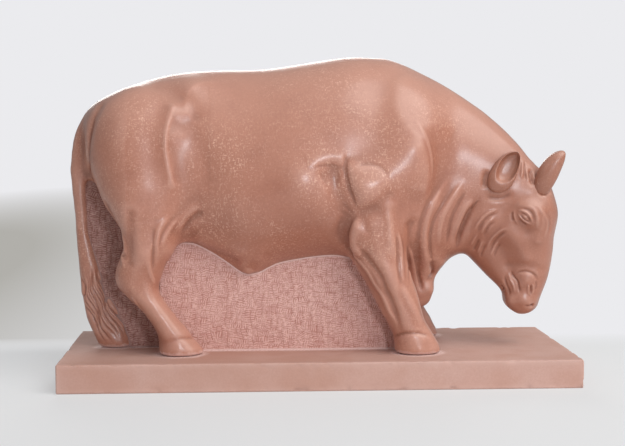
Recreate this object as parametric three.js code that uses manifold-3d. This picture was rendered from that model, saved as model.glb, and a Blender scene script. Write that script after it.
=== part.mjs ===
// A standing bull with its head lowered, carved from one block of red sandstone on the slab left under it.
// It is one stone. Each region that a carver would name is drawn here as a closed solid of its own, and
// where two regions meet they are parted by a hairline kerf. Millimetres, +Z up, the bull faces +X, and
// the origin is the centre of the slab's underside. "Right" is the bull's own right side, towards -Y.
// Heights are above the slab's top. Stations run from rump to poll, or from poll to muzzle.
import * as THREE from "three";
import { mergeVertices } from "three/addons/utils/BufferGeometryUtils.js";
import Module from "manifold-3d";

const wasm = await Module();
wasm.setup();

const { clamp, degToRad, lerp } = THREE.MathUtils;

// Slab under the bull
const plinthLength = 560;
const plinthWidth = 220;
const plinthThickness = 31;
const plinthArris = 3;

// Width of the kerf between two regions that meet, and of the gap round a region that is fitted to others
const kerf = 0.3;
const fitGap = 0.7;

// Trunk
const rumpX = -256;
const croupX = -150;
const croupHeight = 308;
const loinX = -60;
const loinHeight = 312;
const withersX = 42;
const withersHeight = 326;
const bellyHeight = 98;
const hipHalfWidth = 70;
const barrelHalfWidth = 81;
const shoulderHalfWidth = 72;
const sheathX = -76;
const sheathHeight = 76;

// Neck and the brisket that hangs from it between the forelegs
const neckRootX = 104;
const neckHalfWidth = 50;
const throatHeight = 106;
const brisketX = 117;
const brisketHeight = 44;

// Head: it hangs from the poll and is turned towards the bull's right
const headX = 225;
const headY = -15;
const headTurn = degToRad(15);
const pollHeight = 205;
const muzzleHeight = 36;
const jawDepth = 52;
const browDepth = 47;
const browHalfWidth = 38;
const muzzleHalfWidth = 23;

// Horns and ears, each pair alike on the two sides of the head
const hornRootRadius = 12.5;
const hornTipRadius = 5;
const hornLength = 42;
const earLength = 50;
const earWidth = 33;
const earThickness = 18;
const earHollow = 7;

// Hind legs
const stifleX = -183;
const stifleHeight = 126;
const hockX = -198;
const hockHeight = 86;
const hindHoofX = -152;
const hindSpread = 51;
const stifleRadius = 29;
const hockRadius = 25;
const hindCannonRadius = 13;

// Forelegs: the left one stands ahead of the right one
const elbowX = 62;
const elbowHeight = 129;
const kneeX = 85;
const kneeHeight = 62;
const foreHoofX = 109;
const foreSpread = 55;
const leftForeLead = 14;
const elbowRadius = 37;
const kneeRadius = 23;
const foreCannonRadius = 19;

// Hoofs
const hoofRadius = 27;
const hoofHalfWidth = 22;

// Tail, and the brush that it ends in
const tailX = -268;
const tailRadius = 9.5;
const brushHeight = 116;
const brushRadius = 14.5;
const brushHalfWidth = 19.5;
const brushFootX = -226;

// Stone left standing under the belly, and behind the hind legs as far as the tail
const bellyWebThickness = 66;
const bellyWebFrontX = 92;
const tailWebThickness = 16;

// Where one region ends and the next begins
const tailJointX = rumpX - 1;
const neckJointX = neckRootX + 14;
const gaskinJointHeight = 119;
const elbowJointHeight = 103;
const throatJoint = [157, 78];
const pollJoint = [223, 242];

// Sizes of the facets that each region is drawn with
const trunkFacet = 18;
const limbFacet = 11.5;
const headFacet = 8;
const hornFacet = 5.8;

const far = 1000;
const span = (a, b, c = 0) => Math.sqrt(a * a + b * b + c * c);

// Smooth curve through stations [place, value]
function profile(stations) {
  const last = stations.length - 1;
  const slope = stations.map((station, i) => {
    const [a, p] = stations[Math.max(i - 1, 0)];
    const [b, q] = stations[Math.min(i + 1, last)];
    return (q - p) / (b - a);
  });
  return (place) => {
    const t = clamp(place, stations[0][0], stations[last][0]);
    let i = 0;
    while (i < last - 1 && t > stations[i + 1][0]) i++;
    const [a, p] = stations[i];
    const [b, q] = stations[i + 1];
    const s = (t - a) / (b - a);
    const bend = slope[i] * s * (1 - s) ** 2 - slope[i + 1] * s * s * (1 - s);
    return p + (q - p) * s * s * (3 - 2 * s) + (b - a) * bend;
  };
}

// Forms are functions of a point. They are negative inside the stone and about its distance outside.
function blend(a, b, radius) {
  const share = Math.max(radius - Math.abs(a - b), 0) / radius;
  return Math.min(a, b) - (share * share * radius) / 4;
}

// Distance from an oval, from the offset to its middle and the offset's share of the way to its edge
function oval(offset, share, radius) {
  return share < 1e-6 ? -radius : offset * (1 - 1 / share);
}

// Muscle or bone under the skin: an egg at [x, y, h] with three radii, leaning forward by an angle
function swelling([x, y, h], [rx, ry, rh], lean = 0) {
  const c = Math.cos(lean);
  const s = Math.sin(lean);
  return (px, py, ph) => {
    const dx = px - x;
    const dy = py - y;
    const dh = ph - h;
    const u = c * dx - s * dh;
    const w = s * dx + c * dh;
    return oval(span(dx, dy, dh), span(u / rx, dy / ry, w / rh), Math.min(rx, ry, rh));
  };
}

// Limb through joints [x, y, h, radius seen from the side, radius seen from the front]
function limb(joints) {
  return (px, py, ph) => {
    let nearest = far;
    for (let i = 0; i + 1 < joints.length; i++) {
      const [ax, ay, ah, ad, as] = joints[i];
      const [bx, by, bh, bd, bs] = joints[i + 1];
      const vx = bx - ax;
      const vy = by - ay;
      const vh = bh - ah;
      const along = (px - ax) * vx + (py - ay) * vy + (ph - ah) * vh;
      const t = clamp(along / (vx * vx + vy * vy + vh * vh), 0, 1);
      const dx = px - ax - t * vx;
      const dy = py - ay - t * vy;
      const dh = ph - ah - t * vh;
      const deep = lerp(ad, bd, t);
      const side = lerp(as, bs, t);
      const share = span(span(dx, dh) / deep, dy / side);
      nearest = Math.min(nearest, oval(span(dx, dy, dh), share, Math.min(deep, side)));
    }
    return nearest;
  };
}

// Loft along t: its section runs from low(t) to high(t) and is half(t) wide to each side of centre(t)
function loft(start, end, { low, high, half, centre = () => 0, square = 2.2 }) {
  return (place, y, v) => {
    const t = clamp(place, start, end);
    const rise = (high(t) - low(t)) / 2;
    const dv = v - low(t) - rise;
    const dy = y - centre(t);
    const wide = half(t);
    const share = (Math.abs(dv / rise) ** square + Math.abs(dy / wide) ** square) ** (1 / square);
    const d = oval(span(dv, dy), share, Math.min(rise, wide));
    return t === place ? d : span(Math.max(d, 0), place - t);
  };
}

// Trunk
const hipX = lerp(rumpX, croupX, 0.67);
const trunkEndX = neckRootX + 21;
const trunk = loft(rumpX, trunkEndX, {
  high: profile([
    [rumpX, croupHeight - 42],
    [lerp(rumpX, croupX, 0.15), croupHeight - 28.5],
    [lerp(rumpX, croupX, 0.39), croupHeight - 17],
    [hipX, croupHeight - 7],
    [croupX, croupHeight],
    [lerp(croupX, loinX, 0.45), loinHeight - 1],
    [loinX, loinHeight],
    [lerp(loinX, withersX, 0.59), withersHeight - 5],
    [withersX, withersHeight],
    [lerp(withersX, neckRootX, 0.53), withersHeight - 5.5],
    [neckRootX, withersHeight - 19],
    [trunkEndX, withersHeight - 40],
  ]),
  low: profile([
    [rumpX, croupHeight - 108],
    [lerp(rumpX, croupX, 0.15), croupHeight - 136],
    [lerp(rumpX, croupX, 0.39), bellyHeight + 47],
    [hipX, bellyHeight + 34],
    [croupX, bellyHeight + 17],
    [lerp(croupX, sheathX, 0.55), bellyHeight - 3],
    [sheathX, sheathHeight],
    [sheathX + 28, bellyHeight - 9],
    [lerp(loinX, withersX, 0.59), bellyHeight],
    [withersX, bellyHeight],
    [neckRootX, bellyHeight - 8],
    [trunkEndX, bellyHeight - 6],
  ]),
  half: profile([
    [rumpX, hipHalfWidth - 40],
    [lerp(rumpX, croupX, 0.15), hipHalfWidth - 21],
    [lerp(rumpX, croupX, 0.39), hipHalfWidth - 8],
    [hipX, hipHalfWidth - 1],
    [croupX, hipHalfWidth],
    [loinX, barrelHalfWidth - 1],
    [lerp(loinX, withersX, 0.59), barrelHalfWidth],
    [withersX, shoulderHalfWidth + 7],
    [neckRootX, shoulderHalfWidth - 8],
    [trunkEndX, shoulderHalfWidth - 27],
  ]),
});

// Neck: it swings towards the head's side, and carries the brisket
const neckEndX = headX + 15;
const neckMidX = lerp(neckRootX, neckEndX, 0.34);
const neck = loft(neckRootX - 29, neckEndX, {
  high: profile([
    [neckRootX - 29, withersHeight - 7],
    [neckRootX, withersHeight - 14.5],
    [lerp(neckRootX, neckEndX, 0.15), withersHeight - 21.5],
    [neckMidX, withersHeight - 35.5],
    [lerp(neckRootX, neckEndX, 0.54), pollHeight + 67.5],
    [lerp(neckRootX, neckEndX, 0.71), pollHeight + 49],
    [lerp(neckRootX, neckEndX, 0.88), pollHeight + 26],
    [neckEndX, pollHeight + 5],
  ]),
  low: profile([
    [neckRootX - 29, throatHeight - 12],
    [lerp(neckRootX, neckEndX, 0.15), throatHeight - 12],
    [neckMidX, throatHeight - 5],
    [lerp(neckRootX, neckEndX, 0.54), throatHeight + 5],
    [lerp(neckRootX, neckEndX, 0.71), throatHeight + 17],
    [neckEndX, throatHeight + 48],
  ]),
  half: profile([
    [neckRootX - 29, shoulderHalfWidth - 6],
    [neckRootX, neckHalfWidth + 12],
    [neckMidX, neckHalfWidth],
    [lerp(neckRootX, neckEndX, 0.71), neckHalfWidth - 8],
    [neckEndX, neckHalfWidth - 17],
  ]),
  centre: profile([
    [neckRootX, 0],
    [neckMidX, headY * 0.2],
    [neckEndX, headY],
  ]),
});
const brisket = limb([
  [brisketX + 1, 0, throatHeight - 3, 30, 30],
  [brisketX - 5, 0, brisketHeight + 33, 22, 22],
  [brisketX - 4, 0, brisketHeight + 17, 21, 18],
  [brisketX - 3, 0, brisketHeight + 12, 12, 13],
]);

// Head: a loft from muzzle to poll, in the head's own axes
const headLength = pollHeight - muzzleHeight;
const onHead = (share) => muzzleHeight + share * headLength;
const skull = loft(onHead(0), onHead(1), {
  high: profile([
    [onHead(0), browDepth - 35],
    [onHead(0.013), browDepth - 30],
    [onHead(0.045), browDepth - 22.5],
    [onHead(0.09), browDepth - 20],
    [onHead(0.16), browDepth - 15.8],
    [onHead(0.26), browDepth - 10],
    [onHead(0.43), browDepth - 5.3],
    [onHead(0.52), browDepth - 4.3],
    [onHead(0.66), browDepth],
    [onHead(0.72), browDepth - 1],
    [onHead(0.85), browDepth - 7.7],
    [onHead(0.95), browDepth - 16],
    [onHead(1), browDepth - 26],
  ]),
  low: profile([
    [onHead(0), jawDepth - 48],
    [onHead(0.013), jawDepth - 52],
    [onHead(0.045), jawDepth - 60],
    [onHead(0.09), jawDepth - 65.8],
    [onHead(0.16), jawDepth - 68],
    [onHead(0.26), jawDepth - 85],
    [onHead(0.37), jawDepth - 103],
    [onHead(0.43), jawDepth - 112],
    [onHead(0.52), jawDepth - 109],
    [onHead(0.66), jawDepth - 100],
    [onHead(0.72), jawDepth - 89],
    [onHead(0.85), jawDepth - 79],
    [onHead(1), jawDepth - 60],
  ]),
  half: profile([
    [onHead(0), muzzleHalfWidth - 17],
    [onHead(0.013), muzzleHalfWidth - 9],
    [onHead(0.045), muzzleHalfWidth - 2.5],
    [onHead(0.09), muzzleHalfWidth],
    [onHead(0.16), muzzleHalfWidth - 1],
    [onHead(0.26), muzzleHalfWidth + 0.5],
    [onHead(0.43), browHalfWidth - 9],
    [onHead(0.52), browHalfWidth - 4],
    [onHead(0.66), browHalfWidth],
    [onHead(0.72), browHalfWidth - 1],
    [onHead(0.85), browHalfWidth - 4],
    [onHead(1), browHalfWidth - 18],
  ]),
  square: 2.4,
});
const turnCos = Math.cos(headTurn);
const turnSin = Math.sin(headTurn);
// Head's own axes: u forward through the brow, d outward from the mid-plane to the bull's right, h up
const fromHead = (u, d, h) => [headX + u * turnCos - d * turnSin, headY - u * turnSin - d * turnCos, h];
const onHeadAxes = (form) => (x, y, h) => {
  const dx = x - headX;
  const dy = y - headY;
  return form(dx * turnCos - dy * turnSin, -dx * turnSin - dy * turnCos, h);
};
const orbit = swelling([browDepth - 35, browHalfWidth - 7, onHead(0.68)], [18, 9, 14], 0.4);
const head = onHeadAxes((u, d, h) => {
  const outward = Math.abs(d);
  return blend(skull(h, d, u), orbit(u, outward, h), 8);
});

// Horns and ears, drawn on the right side of the head: side is -1 for the left one
const hornRoot = [browDepth - 19, browHalfWidth - 12, pollHeight - 19];
const hornRise = new THREE.Vector3(0.56, 0.2, 0.8).normalize();
const hornAt = (share) => hornRise.clone().multiplyScalar(share * hornLength).toArray();
const hornJoint = (share, radius) => {
  const [u, d, h] = hornAt(share);
  return [hornRoot[0] + u, hornRoot[1] + d, hornRoot[2] + h, radius, radius * 0.92];
};
const hornForm = limb([
  hornJoint(-0.35, hornRootRadius * 0.8),
  hornJoint(0.1, hornRootRadius),
  hornJoint(0.55, hornRootRadius * 0.9),
  hornJoint(1 - hornTipRadius / hornLength, hornTipRadius),
]);
const earRoot = [browDepth - 66, browHalfWidth - 4, pollHeight - 33];
const earLean = 0.42;
const earMiddle = [
  earRoot[0] + Math.sin(earLean) * earLength * 0.47,
  earRoot[1] + earLength * 0.16,
  earRoot[2] + Math.cos(earLean) * earLength * 0.47,
];
const earShell = swelling(earMiddle, [earWidth / 2, earThickness / 2, earLength / 2], earLean);
const earCup = swelling(
  [earMiddle[0] + 1, earMiddle[1] + earThickness / 2 + 1, earMiddle[2] + 2],
  [earWidth / 2 - 4, earHollow + 1, earLength / 2 - 7],
  earLean,
);
const earStalk = limb([
  [earRoot[0] + 2, earRoot[1] - 12, earRoot[2] - 2, 9, 8],
  [earRoot[0] + 4, earRoot[1] + 1, earRoot[2] + 7, 10, 7],
]);
const earForm = (u, d, h) => {
  const solidEar = blend(earShell(u, d, h), earStalk(u, d, h), 6);
  return -blend(-solidEar, earCup(u, d, h), 3);
};
const onSide = (form, side) => onHeadAxes((u, d, h) => form(u, side * d, h));

// Hind leg, drawn on the right: the haunch runs down into the gaskin, hock, cannon and hoof
const haunch = swelling(
  [stifleX - 14, -hipHalfWidth * 0.6, (croupHeight + stifleHeight) / 2 + 2],
  [49, hipHalfWidth * 0.49, (croupHeight - stifleHeight) / 2 - 22],
);
const hookBone = swelling([croupX + 18, -hipHalfWidth * 0.62, croupHeight - 42], [17, 20, 26]);
const hindMidX = lerp(hockX, hindHoofX, 0.6);
const hindLeg = limb([
  [stifleX - 5, 4 - hindSpread, stifleHeight + 43, stifleRadius + 17, stifleRadius + 5],
  [stifleX, -hindSpread, stifleHeight, stifleRadius, stifleRadius - 3],
  [lerp(stifleX, hockX, 0.5), -hindSpread, lerp(stifleHeight, hockHeight, 0.42), 25.5, 24],
  [hockX, -hindSpread - 1, hockHeight, hockRadius, hockRadius - 4],
  [hockX + 4, -hindSpread - 1, hockHeight - 13, hockRadius - 6, hockRadius - 5],
  [lerp(hockX, hindHoofX, 0.28), -hindSpread - 1, hockHeight * 0.68, hindCannonRadius + 0.5, 20],
  [hindMidX, -hindSpread - 1, hockHeight * 0.44, hindCannonRadius, 20],
  [hindHoofX - 7, -hindSpread, hockHeight * 0.22, hoofRadius - 10, hoofHalfWidth - 1],
  [hindHoofX, -hindSpread, -4, hoofRadius, hoofHalfWidth + 1],
]);

// Foreleg, drawn on the right: the shoulder runs down into the forearm, knee, cannon and hoof
const shoulderBlade = swelling(
  [neckRootX - 6, -shoulderHalfWidth * 0.68, withersHeight - 92],
  [34, shoulderHalfWidth * 0.4, 66],
  0.2,
);
const shoulderPoint = swelling([elbowX - 3, -shoulderHalfWidth * 0.76, elbowHeight + 55], [25, 27, 25]);
const foreLeg = limb([
  [elbowX - 10, 8 - foreSpread, elbowHeight + 54, elbowRadius + 12, 32],
  [elbowX, 4 - foreSpread, elbowHeight, elbowRadius, 29],
  [elbowX + 4, 2 - foreSpread, elbowHeight - 21, elbowRadius - 7, 27],
  [lerp(elbowX, kneeX, 0.62), -foreSpread, lerp(elbowHeight, kneeHeight, 0.71), kneeRadius + 2, 24],
  [kneeX + 2, -foreSpread - 1, kneeHeight - 6, kneeRadius, 22],
  [lerp(kneeX, foreHoofX, 0.54), -foreSpread - 1, kneeHeight * 0.47, foreCannonRadius, 21],
  [foreHoofX - 5, -foreSpread - 1, kneeHeight * 0.22, hoofRadius - 4, hoofHalfWidth],
  [foreHoofX, -foreSpread - 1, -4, hoofRadius, hoofHalfWidth + 1],
]);

// Tail: from the croup over the rump and down to the brush, whose foot stands on the slab
const tail = limb([
  [rumpX + 24, 0, croupHeight - 43, tailRadius + 6, tailRadius + 5],
  [rumpX + 5, 0, croupHeight - 51, tailRadius + 1.5, tailRadius + 2],
  [lerp(rumpX, tailX, 0.6), 0, croupHeight - 70, tailRadius, tailRadius + 0.5],
  [tailX, 0, croupHeight - 108, tailRadius, tailRadius],
  [tailX + 3, 0, brushHeight + 43, tailRadius - 1, tailRadius],
  [tailX + 5, 0, brushHeight + 12, tailRadius - 1, tailRadius + 0.5],
  [tailX + 11.5, 0, brushHeight * 0.8, lerp(tailRadius, brushHalfWidth, 0.2), brushRadius - 2.5],
  [tailX + 18, 0, brushHeight * 0.5, brushHalfWidth - 3.5, brushRadius - 1],
  [tailX + 27, 0, brushHeight * 0.31, brushHalfWidth, brushRadius],
  [lerp(tailX + 27, brushFootX, 0.53), 0, brushHeight * 0.155, brushHalfWidth, brushRadius],
  [brushFootX, 0, -2, brushHalfWidth - 2.5, brushRadius - 0.5],
]);

// The whole bull, but for the stone left between its legs
function bull(x, y, h) {
  const right = -Math.abs(y);
  const foreX = x - (y > 0 ? leftForeLead : 0);
  let stone = blend(trunk(x, y, h), neck(x, y, h), 22);
  stone = blend(stone, haunch(x, right, h), 24);
  stone = blend(stone, hookBone(x, right, h), 22);
  stone = blend(stone, shoulderBlade(x, right, h), 22);
  stone = blend(stone, shoulderPoint(x, right, h), 12);
  stone = blend(stone, hindLeg(x, right, h), 14);
  stone = blend(stone, foreLeg(foreX, right, h), 14);
  stone = blend(stone, brisket(x, y, h), 14);
  stone = blend(stone, head(x, y, h), 9);
  return blend(stone, tail(x, y, h), 4);
}

// Corners of a cube are numbered by x + 2y + 4h, and its faces are rings of corners
const cubeFaces = [[0, 2, 6, 4], [1, 5, 7, 3], [0, 4, 5, 1], [2, 3, 7, 6], [0, 1, 3, 2], [4, 6, 7, 5]];
const edgeKey = (a, b) => Math.min(a, b) * 8 + Math.max(a, b);

// Splits the crossed edges of one cube into loops, one for each sheet of the surface that passes through
function sheets(inside) {
  const home = new Map();
  const root = (key) => (home.get(key) === key ? key : root(home.get(key)));
  for (const ring of cubeFaces) {
    const crossed = ring.map((corner, i) => inside[corner] !== inside[ring[(i + 1) % 4]]);
    const keys = ring.map((corner, i) => edgeKey(corner, ring[(i + 1) % 4]));
    keys.forEach((key, i) => crossed[i] && !home.has(key) && home.set(key, key));
    const cornerJoin = (i) => [keys[(i + 3) % 4], keys[i]];
    let joins = [];
    if (crossed.filter(Boolean).length === 2) joins = [keys.filter((key, i) => crossed[i])];
    else if (crossed[0]) joins = [0, 1, 2, 3].filter((i) => inside[ring[i]]).map(cornerJoin);
    for (const [a, b] of joins) home.set(root(a), root(b));
  }
  return [...home.keys()].map((key) => [key, root(key)]);
}

// Draws a point onto the surface of a form
function settle(form, point, reach) {
  const step = 0.05;
  const start = point.clone();
  for (let pass = 0; pass < 4; pass++) {
    const { x, y, z } = point;
    const value = form(x, y, z);
    const slope = new THREE.Vector3(
      form(x + step, y, z) - form(x - step, y, z),
      form(x, y + step, z) - form(x, y - step, z),
      form(x, y, z + step) - form(x, y, z - step),
    ).divideScalar(2 * step);
    const steepness = slope.lengthSq();
    if (steepness < 1e-4 || Math.abs(value) < 0.01) break;
    point.addScaledVector(slope, -value / steepness);
    if (point.distanceTo(start) > reach) return start;
  }
  return point;
}

// Closed mesh of a form inside a box. Its grid stands on whole facets, so that neighbours match.
function skin(form, from, to, facet) {
  const low = from.map((v) => Math.floor(v / facet) * facet);
  const count = to.map((v, axis) => Math.ceil((v - low[axis]) / facet) + 1);
  const [nx, ny, nz] = count;
  const at = (i, j, k) => i + nx * (j + ny * k);
  const place = (i, j, k) => new THREE.Vector3(low[0] + i * facet, low[1] + j * facet, low[2] + k * facet);
  const value = new Float64Array(nx * ny * nz);
  for (let k = 0; k < nz; k++) {
    for (let j = 0; j < ny; j++) {
      for (let i = 0; i < nx; i++) {
        const rim = i === 0 || j === 0 || k === 0 || i === nx - 1 || j === ny - 1 || k === nz - 1;
        const p = place(i, j, k);
        value[at(i, j, k)] = rim ? facet : form(p.x, p.y, p.z);
      }
    }
  }
  const points = [];
  const owner = new Map();
  for (let k = 0; k < nz - 1; k++) {
    for (let j = 0; j < ny - 1; j++) {
      for (let i = 0; i < nx - 1; i++) {
        const corner = (c) => [i + (c & 1), j + ((c >> 1) & 1), k + (c >> 2)];
        const values = [0, 1, 2, 3, 4, 5, 6, 7].map((c) => value[at(...corner(c))]);
        const inside = values.map((v) => v < 0);
        if (inside.every(Boolean) || !inside.some(Boolean)) continue;
        const loops = new Map();
        for (const [key, loop] of sheets(inside)) {
          const a = key >> 3;
          const b = key & 7;
          const share = values[a] / (values[a] - values[b]);
          if (!loops.has(loop)) loops.set(loop, { sum: new THREE.Vector3(), keys: [] });
          loops.get(loop).sum.add(place(...corner(a)).lerp(place(...corner(b)), share));
          loops.get(loop).keys.push(key);
        }
        for (const { sum, keys } of loops.values()) {
          const index = points.push(settle(form, sum.divideScalar(keys.length), facet * 0.6)) - 1;
          for (const key of keys) owner.set(at(i, j, k) * 64 + key, index);
        }
      }
    }
  }
  const triangles = [];
  const steps = [[1, 2, 4], [2, 4, 1], [4, 1, 2]];
  for (let k = 0; k < nz - 1; k++) {
    for (let j = 0; j < ny - 1; j++) {
      for (let i = 0; i < nx - 1; i++) {
        const here = value[at(i, j, k)] < 0;
        for (const [along, across, up] of steps) {
          const next = at(i + (along === 1), j + (along === 2), k + (along === 4));
          if (here === value[next] < 0) continue;
          const around = [[0, 0], [across, 0], [across, up], [0, up]].map(([a, b]) => {
            const shift = a + b;
            const cell = at(i - (shift & 1), j - ((shift >> 1) & 1), k - (shift >> 2));
            return owner.get(cell * 64 + edgeKey(shift, shift + along));
          });
          const [a, b, c, d] = here ? around : around.reverse();
          const even = points[a].distanceTo(points[c]) < points[b].distanceTo(points[d]);
          triangles.push(...(even ? [a, b, c, a, c, d] : [a, b, d, b, c, d]));
        }
      }
    }
  }
  return solid(points.flatMap((p) => p.toArray()), triangles);
}

function solid(vertProperties, triVerts) {
  const mesh = new wasm.Mesh({
    numProp: 3,
    vertProperties: new Float32Array(vertProperties),
    triVerts: new Uint32Array(triVerts),
  });
  return new wasm.Manifold(mesh);
}

function solidOf(geometry) {
  const bare = geometry.clone();
  bare.deleteAttribute("normal");
  bare.deleteAttribute("uv");
  const merged = mergeVertices(bare, 1e-4);
  return solid(merged.attributes.position.array, merged.index.array);
}

// Prism over an outline seen from the right, from y0 to y1
function prism(outline, y0 = -far, y1 = far) {
  const shape = new THREE.Shape(outline.map(([x, h]) => new THREE.Vector2(x, h)));
  const geometry = new THREE.ExtrudeGeometry(shape, { depth: y1 - y0, bevelEnabled: false });
  return solidOf(geometry.rotateX(Math.PI / 2).translate(0, y1, 0));
}

// The same outline with each side moved outward by a kerf: outlines run anticlockwise
function widened(outline) {
  const count = outline.length;
  const side = (i) => {
    const [a, b] = [outline[i % count], outline[(i + 1) % count]];
    const along = new THREE.Vector2(b[0] - a[0], b[1] - a[1]).normalize();
    return { start: new THREE.Vector2(a[0] + along.y * kerf, a[1] - along.x * kerf), along };
  };
  return outline.map((corner, i) => {
    const p = side(i + count - 1);
    const q = side(i);
    const cross = p.along.cross(q.along);
    const t = q.start.clone().sub(p.start).cross(q.along) / cross;
    return p.start.addScaledVector(p.along, t).toArray();
  });
}

// Regions of the bull. Each is cut by a prism, less the prisms of the regions listed before it.
const brisketTop = throatHeight - 26;
const brisketHalf = 24;
const tailOutline = [
  [-far, kerf],
  [brushFootX + 30, kerf],
  [brushFootX + 14, brushHeight * 0.22],
  [brushFootX, brushHeight * 0.43],
  [tailX + 32, brushHeight * 0.72],
  [tailX + 23, brushHeight],
  [tailX + 16, brushHeight + 44],
  [tailJointX, croupHeight - 108],
  [tailJointX, far],
  [-far, far],
];
const headOutline = [
  [throatJoint[0], kerf],
  [far, kerf],
  [far, far],
  [pollJoint[0], far],
  pollJoint,
  throatJoint,
];
const block = (rear, front, floor, top) => [[rear, floor], [front, floor], [front, top], [rear, top]];
const hindBlock = [
  [-far, kerf],
  [hindHoofX + hoofRadius + 10, kerf],
  [hindHoofX + hoofRadius + 10, hockHeight * 0.47],
  [croupX - 8, gaskinJointHeight],
  [-far, gaskinJointHeight],
];
const foreBlock = (lead) => [
  [elbowX - 42 + lead, kerf],
  [far, kerf],
  [far, brisketTop],
  [neckJointX, brisketTop],
  [neckJointX, elbowJointHeight],
  [elbowX - 42 + lead, elbowJointHeight],
];
const regions = [
  { name: "tail", outline: tailOutline, facet: hornFacet * 1.15 },
  { name: "head", outline: headOutline, facet: headFacet },
  {
    name: "brisket",
    outline: block(bellyWebFrontX, far, kerf, brisketTop),
    y0: -brisketHalf,
    y1: brisketHalf,
    facet: limbFacet,
  },
  { name: "foreleg_right", outline: foreBlock(0), y1: 0, facet: limbFacet },
  { name: "foreleg_left", outline: foreBlock(leftForeLead), y0: 0, facet: limbFacet },
  { name: "hind_leg_right", outline: hindBlock, y1: 0, facet: limbFacet },
  { name: "hind_leg_left", outline: hindBlock, y0: 0, facet: limbFacet },
  { name: "neck", outline: block(neckJointX, far, brisketTop - 20, far), facet: limbFacet * 1.15 },
  { name: "torso", outline: block(-far, far, sheathHeight - 12, far), facet: trunkFacet },
];

// Stone left between the legs, as prisms that run up into the belly and rump before they are fitted to them
const webMeetX = croupX - 22;
const webs = [
  {
    name: "belly_web",
    outline: block(webMeetX, bellyWebFrontX - kerf, kerf, bellyHeight + 48),
    thickness: bellyWebThickness,
    facet: limbFacet,
  },
  {
    name: "tail_web",
    outline: [
      [brushFootX, kerf],
      [webMeetX - kerf, kerf],
      [webMeetX - kerf, gaskinJointHeight + 40],
      [stifleX - 12, croupHeight - 90],
      [tailX + 4, croupHeight - 90],
      [tailX + 7, brushHeight + 20],
      [tailX + 17, brushHeight * 0.6],
    ],
    thickness: tailWebThickness,
    facet: hornFacet * 1.15,
  },
];

// Space that the bull keeps to
const room = {
  low: [tailX - 30, -barrelHalfWidth - 20, 0],
  high: [headX + browDepth + 40, barrelHalfWidth + 20, withersHeight + 20],
};

// Largest body of a cut region: a crumb that a cut leaves loose is dropped, as on the bench
function whole(cut) {
  return cut.decompose().reduce((best, part) => (part.volume() > best.volume() ? part : best));
}

function carve({ outline, y0 = -far, y1 = far, facet }, taken) {
  const xs = outline.map(([x]) => x);
  const hs = outline.map(([, h]) => h);
  const margin = 2.2 * facet;
  const low = [Math.min(...xs), y0, Math.min(...hs)].map((v, axis) => Math.max(v, room.low[axis]) - margin);
  const high = [Math.max(...xs), y1, Math.max(...hs)].map((v, axis) => Math.min(v, room.high[axis]) + margin);
  const rough = skin(bull, low, high, facet);
  const own = rough.intersect(prism(outline, y0, y1));
  return whole(taken.reduce((rest, other) => rest.subtract(other), own));
}

// Skin of the bull inside a box, held off the stone by the gap that a fitted region keeps
const clearance = (low, high, facet) => skin((x, y, h) => bull(x, y, h) - fitGap, low, high, facet);

// Trims a fitted region wherever a neighbour comes within a kerf of it
const shifts = [[kerf, 0, 0], [-kerf, 0, 0], [0, kerf, 0], [0, -kerf, 0], [0, 0, kerf], [0, 0, -kerf]];
const trimmed = (body) => {
  const trim = (rest, other) => shifts.reduce((left, shift) => left.subtract(other.translate(shift)), rest);
  return whole(carved.reduce(trim, body));
};

// A horn or an ear is cut to the head's own surface
function seated(form, middle, radius) {
  const low = middle.map((v) => v - radius);
  const high = middle.map((v) => v + radius);
  return trimmed(skin(form, low, high, hornFacet).subtract(clearance(low, high, hornFacet)));
}

// A web fills what the bull leaves open in its prism
function fitted({ outline, thickness, facet }) {
  const xs = outline.map(([x]) => x);
  const hs = outline.map(([, h]) => h);
  const margin = 2.2 * facet;
  const low = [Math.min(...xs) - margin, -thickness / 2 - margin, -margin];
  const high = [Math.max(...xs) + margin, thickness / 2 + margin, Math.max(...hs) + margin];
  return trimmed(prism(outline, -thickness / 2, thickness / 2).subtract(clearance(low, high, facet)));
}

function meshOf(name, body, { color, roughness }) {
  const { vertProperties, triVerts } = body.getMesh();
  const geometry = new THREE.BufferGeometry();
  geometry.setAttribute("position", new THREE.BufferAttribute(new Float32Array(vertProperties), 3));
  geometry.setIndex(new THREE.BufferAttribute(new Uint32Array(triVerts), 1));
  geometry.computeVertexNormals();
  const mesh = new THREE.Mesh(geometry, new THREE.MeshStandardMaterial({ color, roughness, metalness: 0 }));
  mesh.name = name;
  return mesh;
}

function makeSlab() {
  const x = plinthLength / 2 - plinthArris;
  const y = plinthWidth / 2 - plinthArris;
  const outline = new THREE.Shape([
    new THREE.Vector2(-x, -y),
    new THREE.Vector2(x, -y),
    new THREE.Vector2(x, y),
    new THREE.Vector2(-x, y),
  ]);
  const geometry = new THREE.ExtrudeGeometry(outline, {
    depth: plinthThickness - 2 * plinthArris,
    bevelThickness: plinthArris,
    bevelSize: plinthArris,
    bevelSegments: 3,
  });
  return solidOf(geometry.translate(0, 0, plinthArris));
}

const polished = { color: 0xbe826e, roughness: 0.42 };
const tooled = { color: 0xcd9b91, roughness: 0.85 };

const part = new THREE.Group();
part.add(meshOf("plinth", makeSlab(), tooled));

const stone = new THREE.Group();
stone.position.z = plinthThickness;
part.add(stone);

const taken = [];
const carved = [];
for (const region of regions) {
  const body = carve(region, taken);
  carved.push(body);
  stone.add(meshOf(region.name, body, polished));
  const { outline, y0 = -far, y1 = far } = region;
  taken.push(prism(widened(outline), y0 - kerf, y1 + kerf));
}

for (const web of webs) stone.add(meshOf(web.name, fitted(web), tooled));

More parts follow.
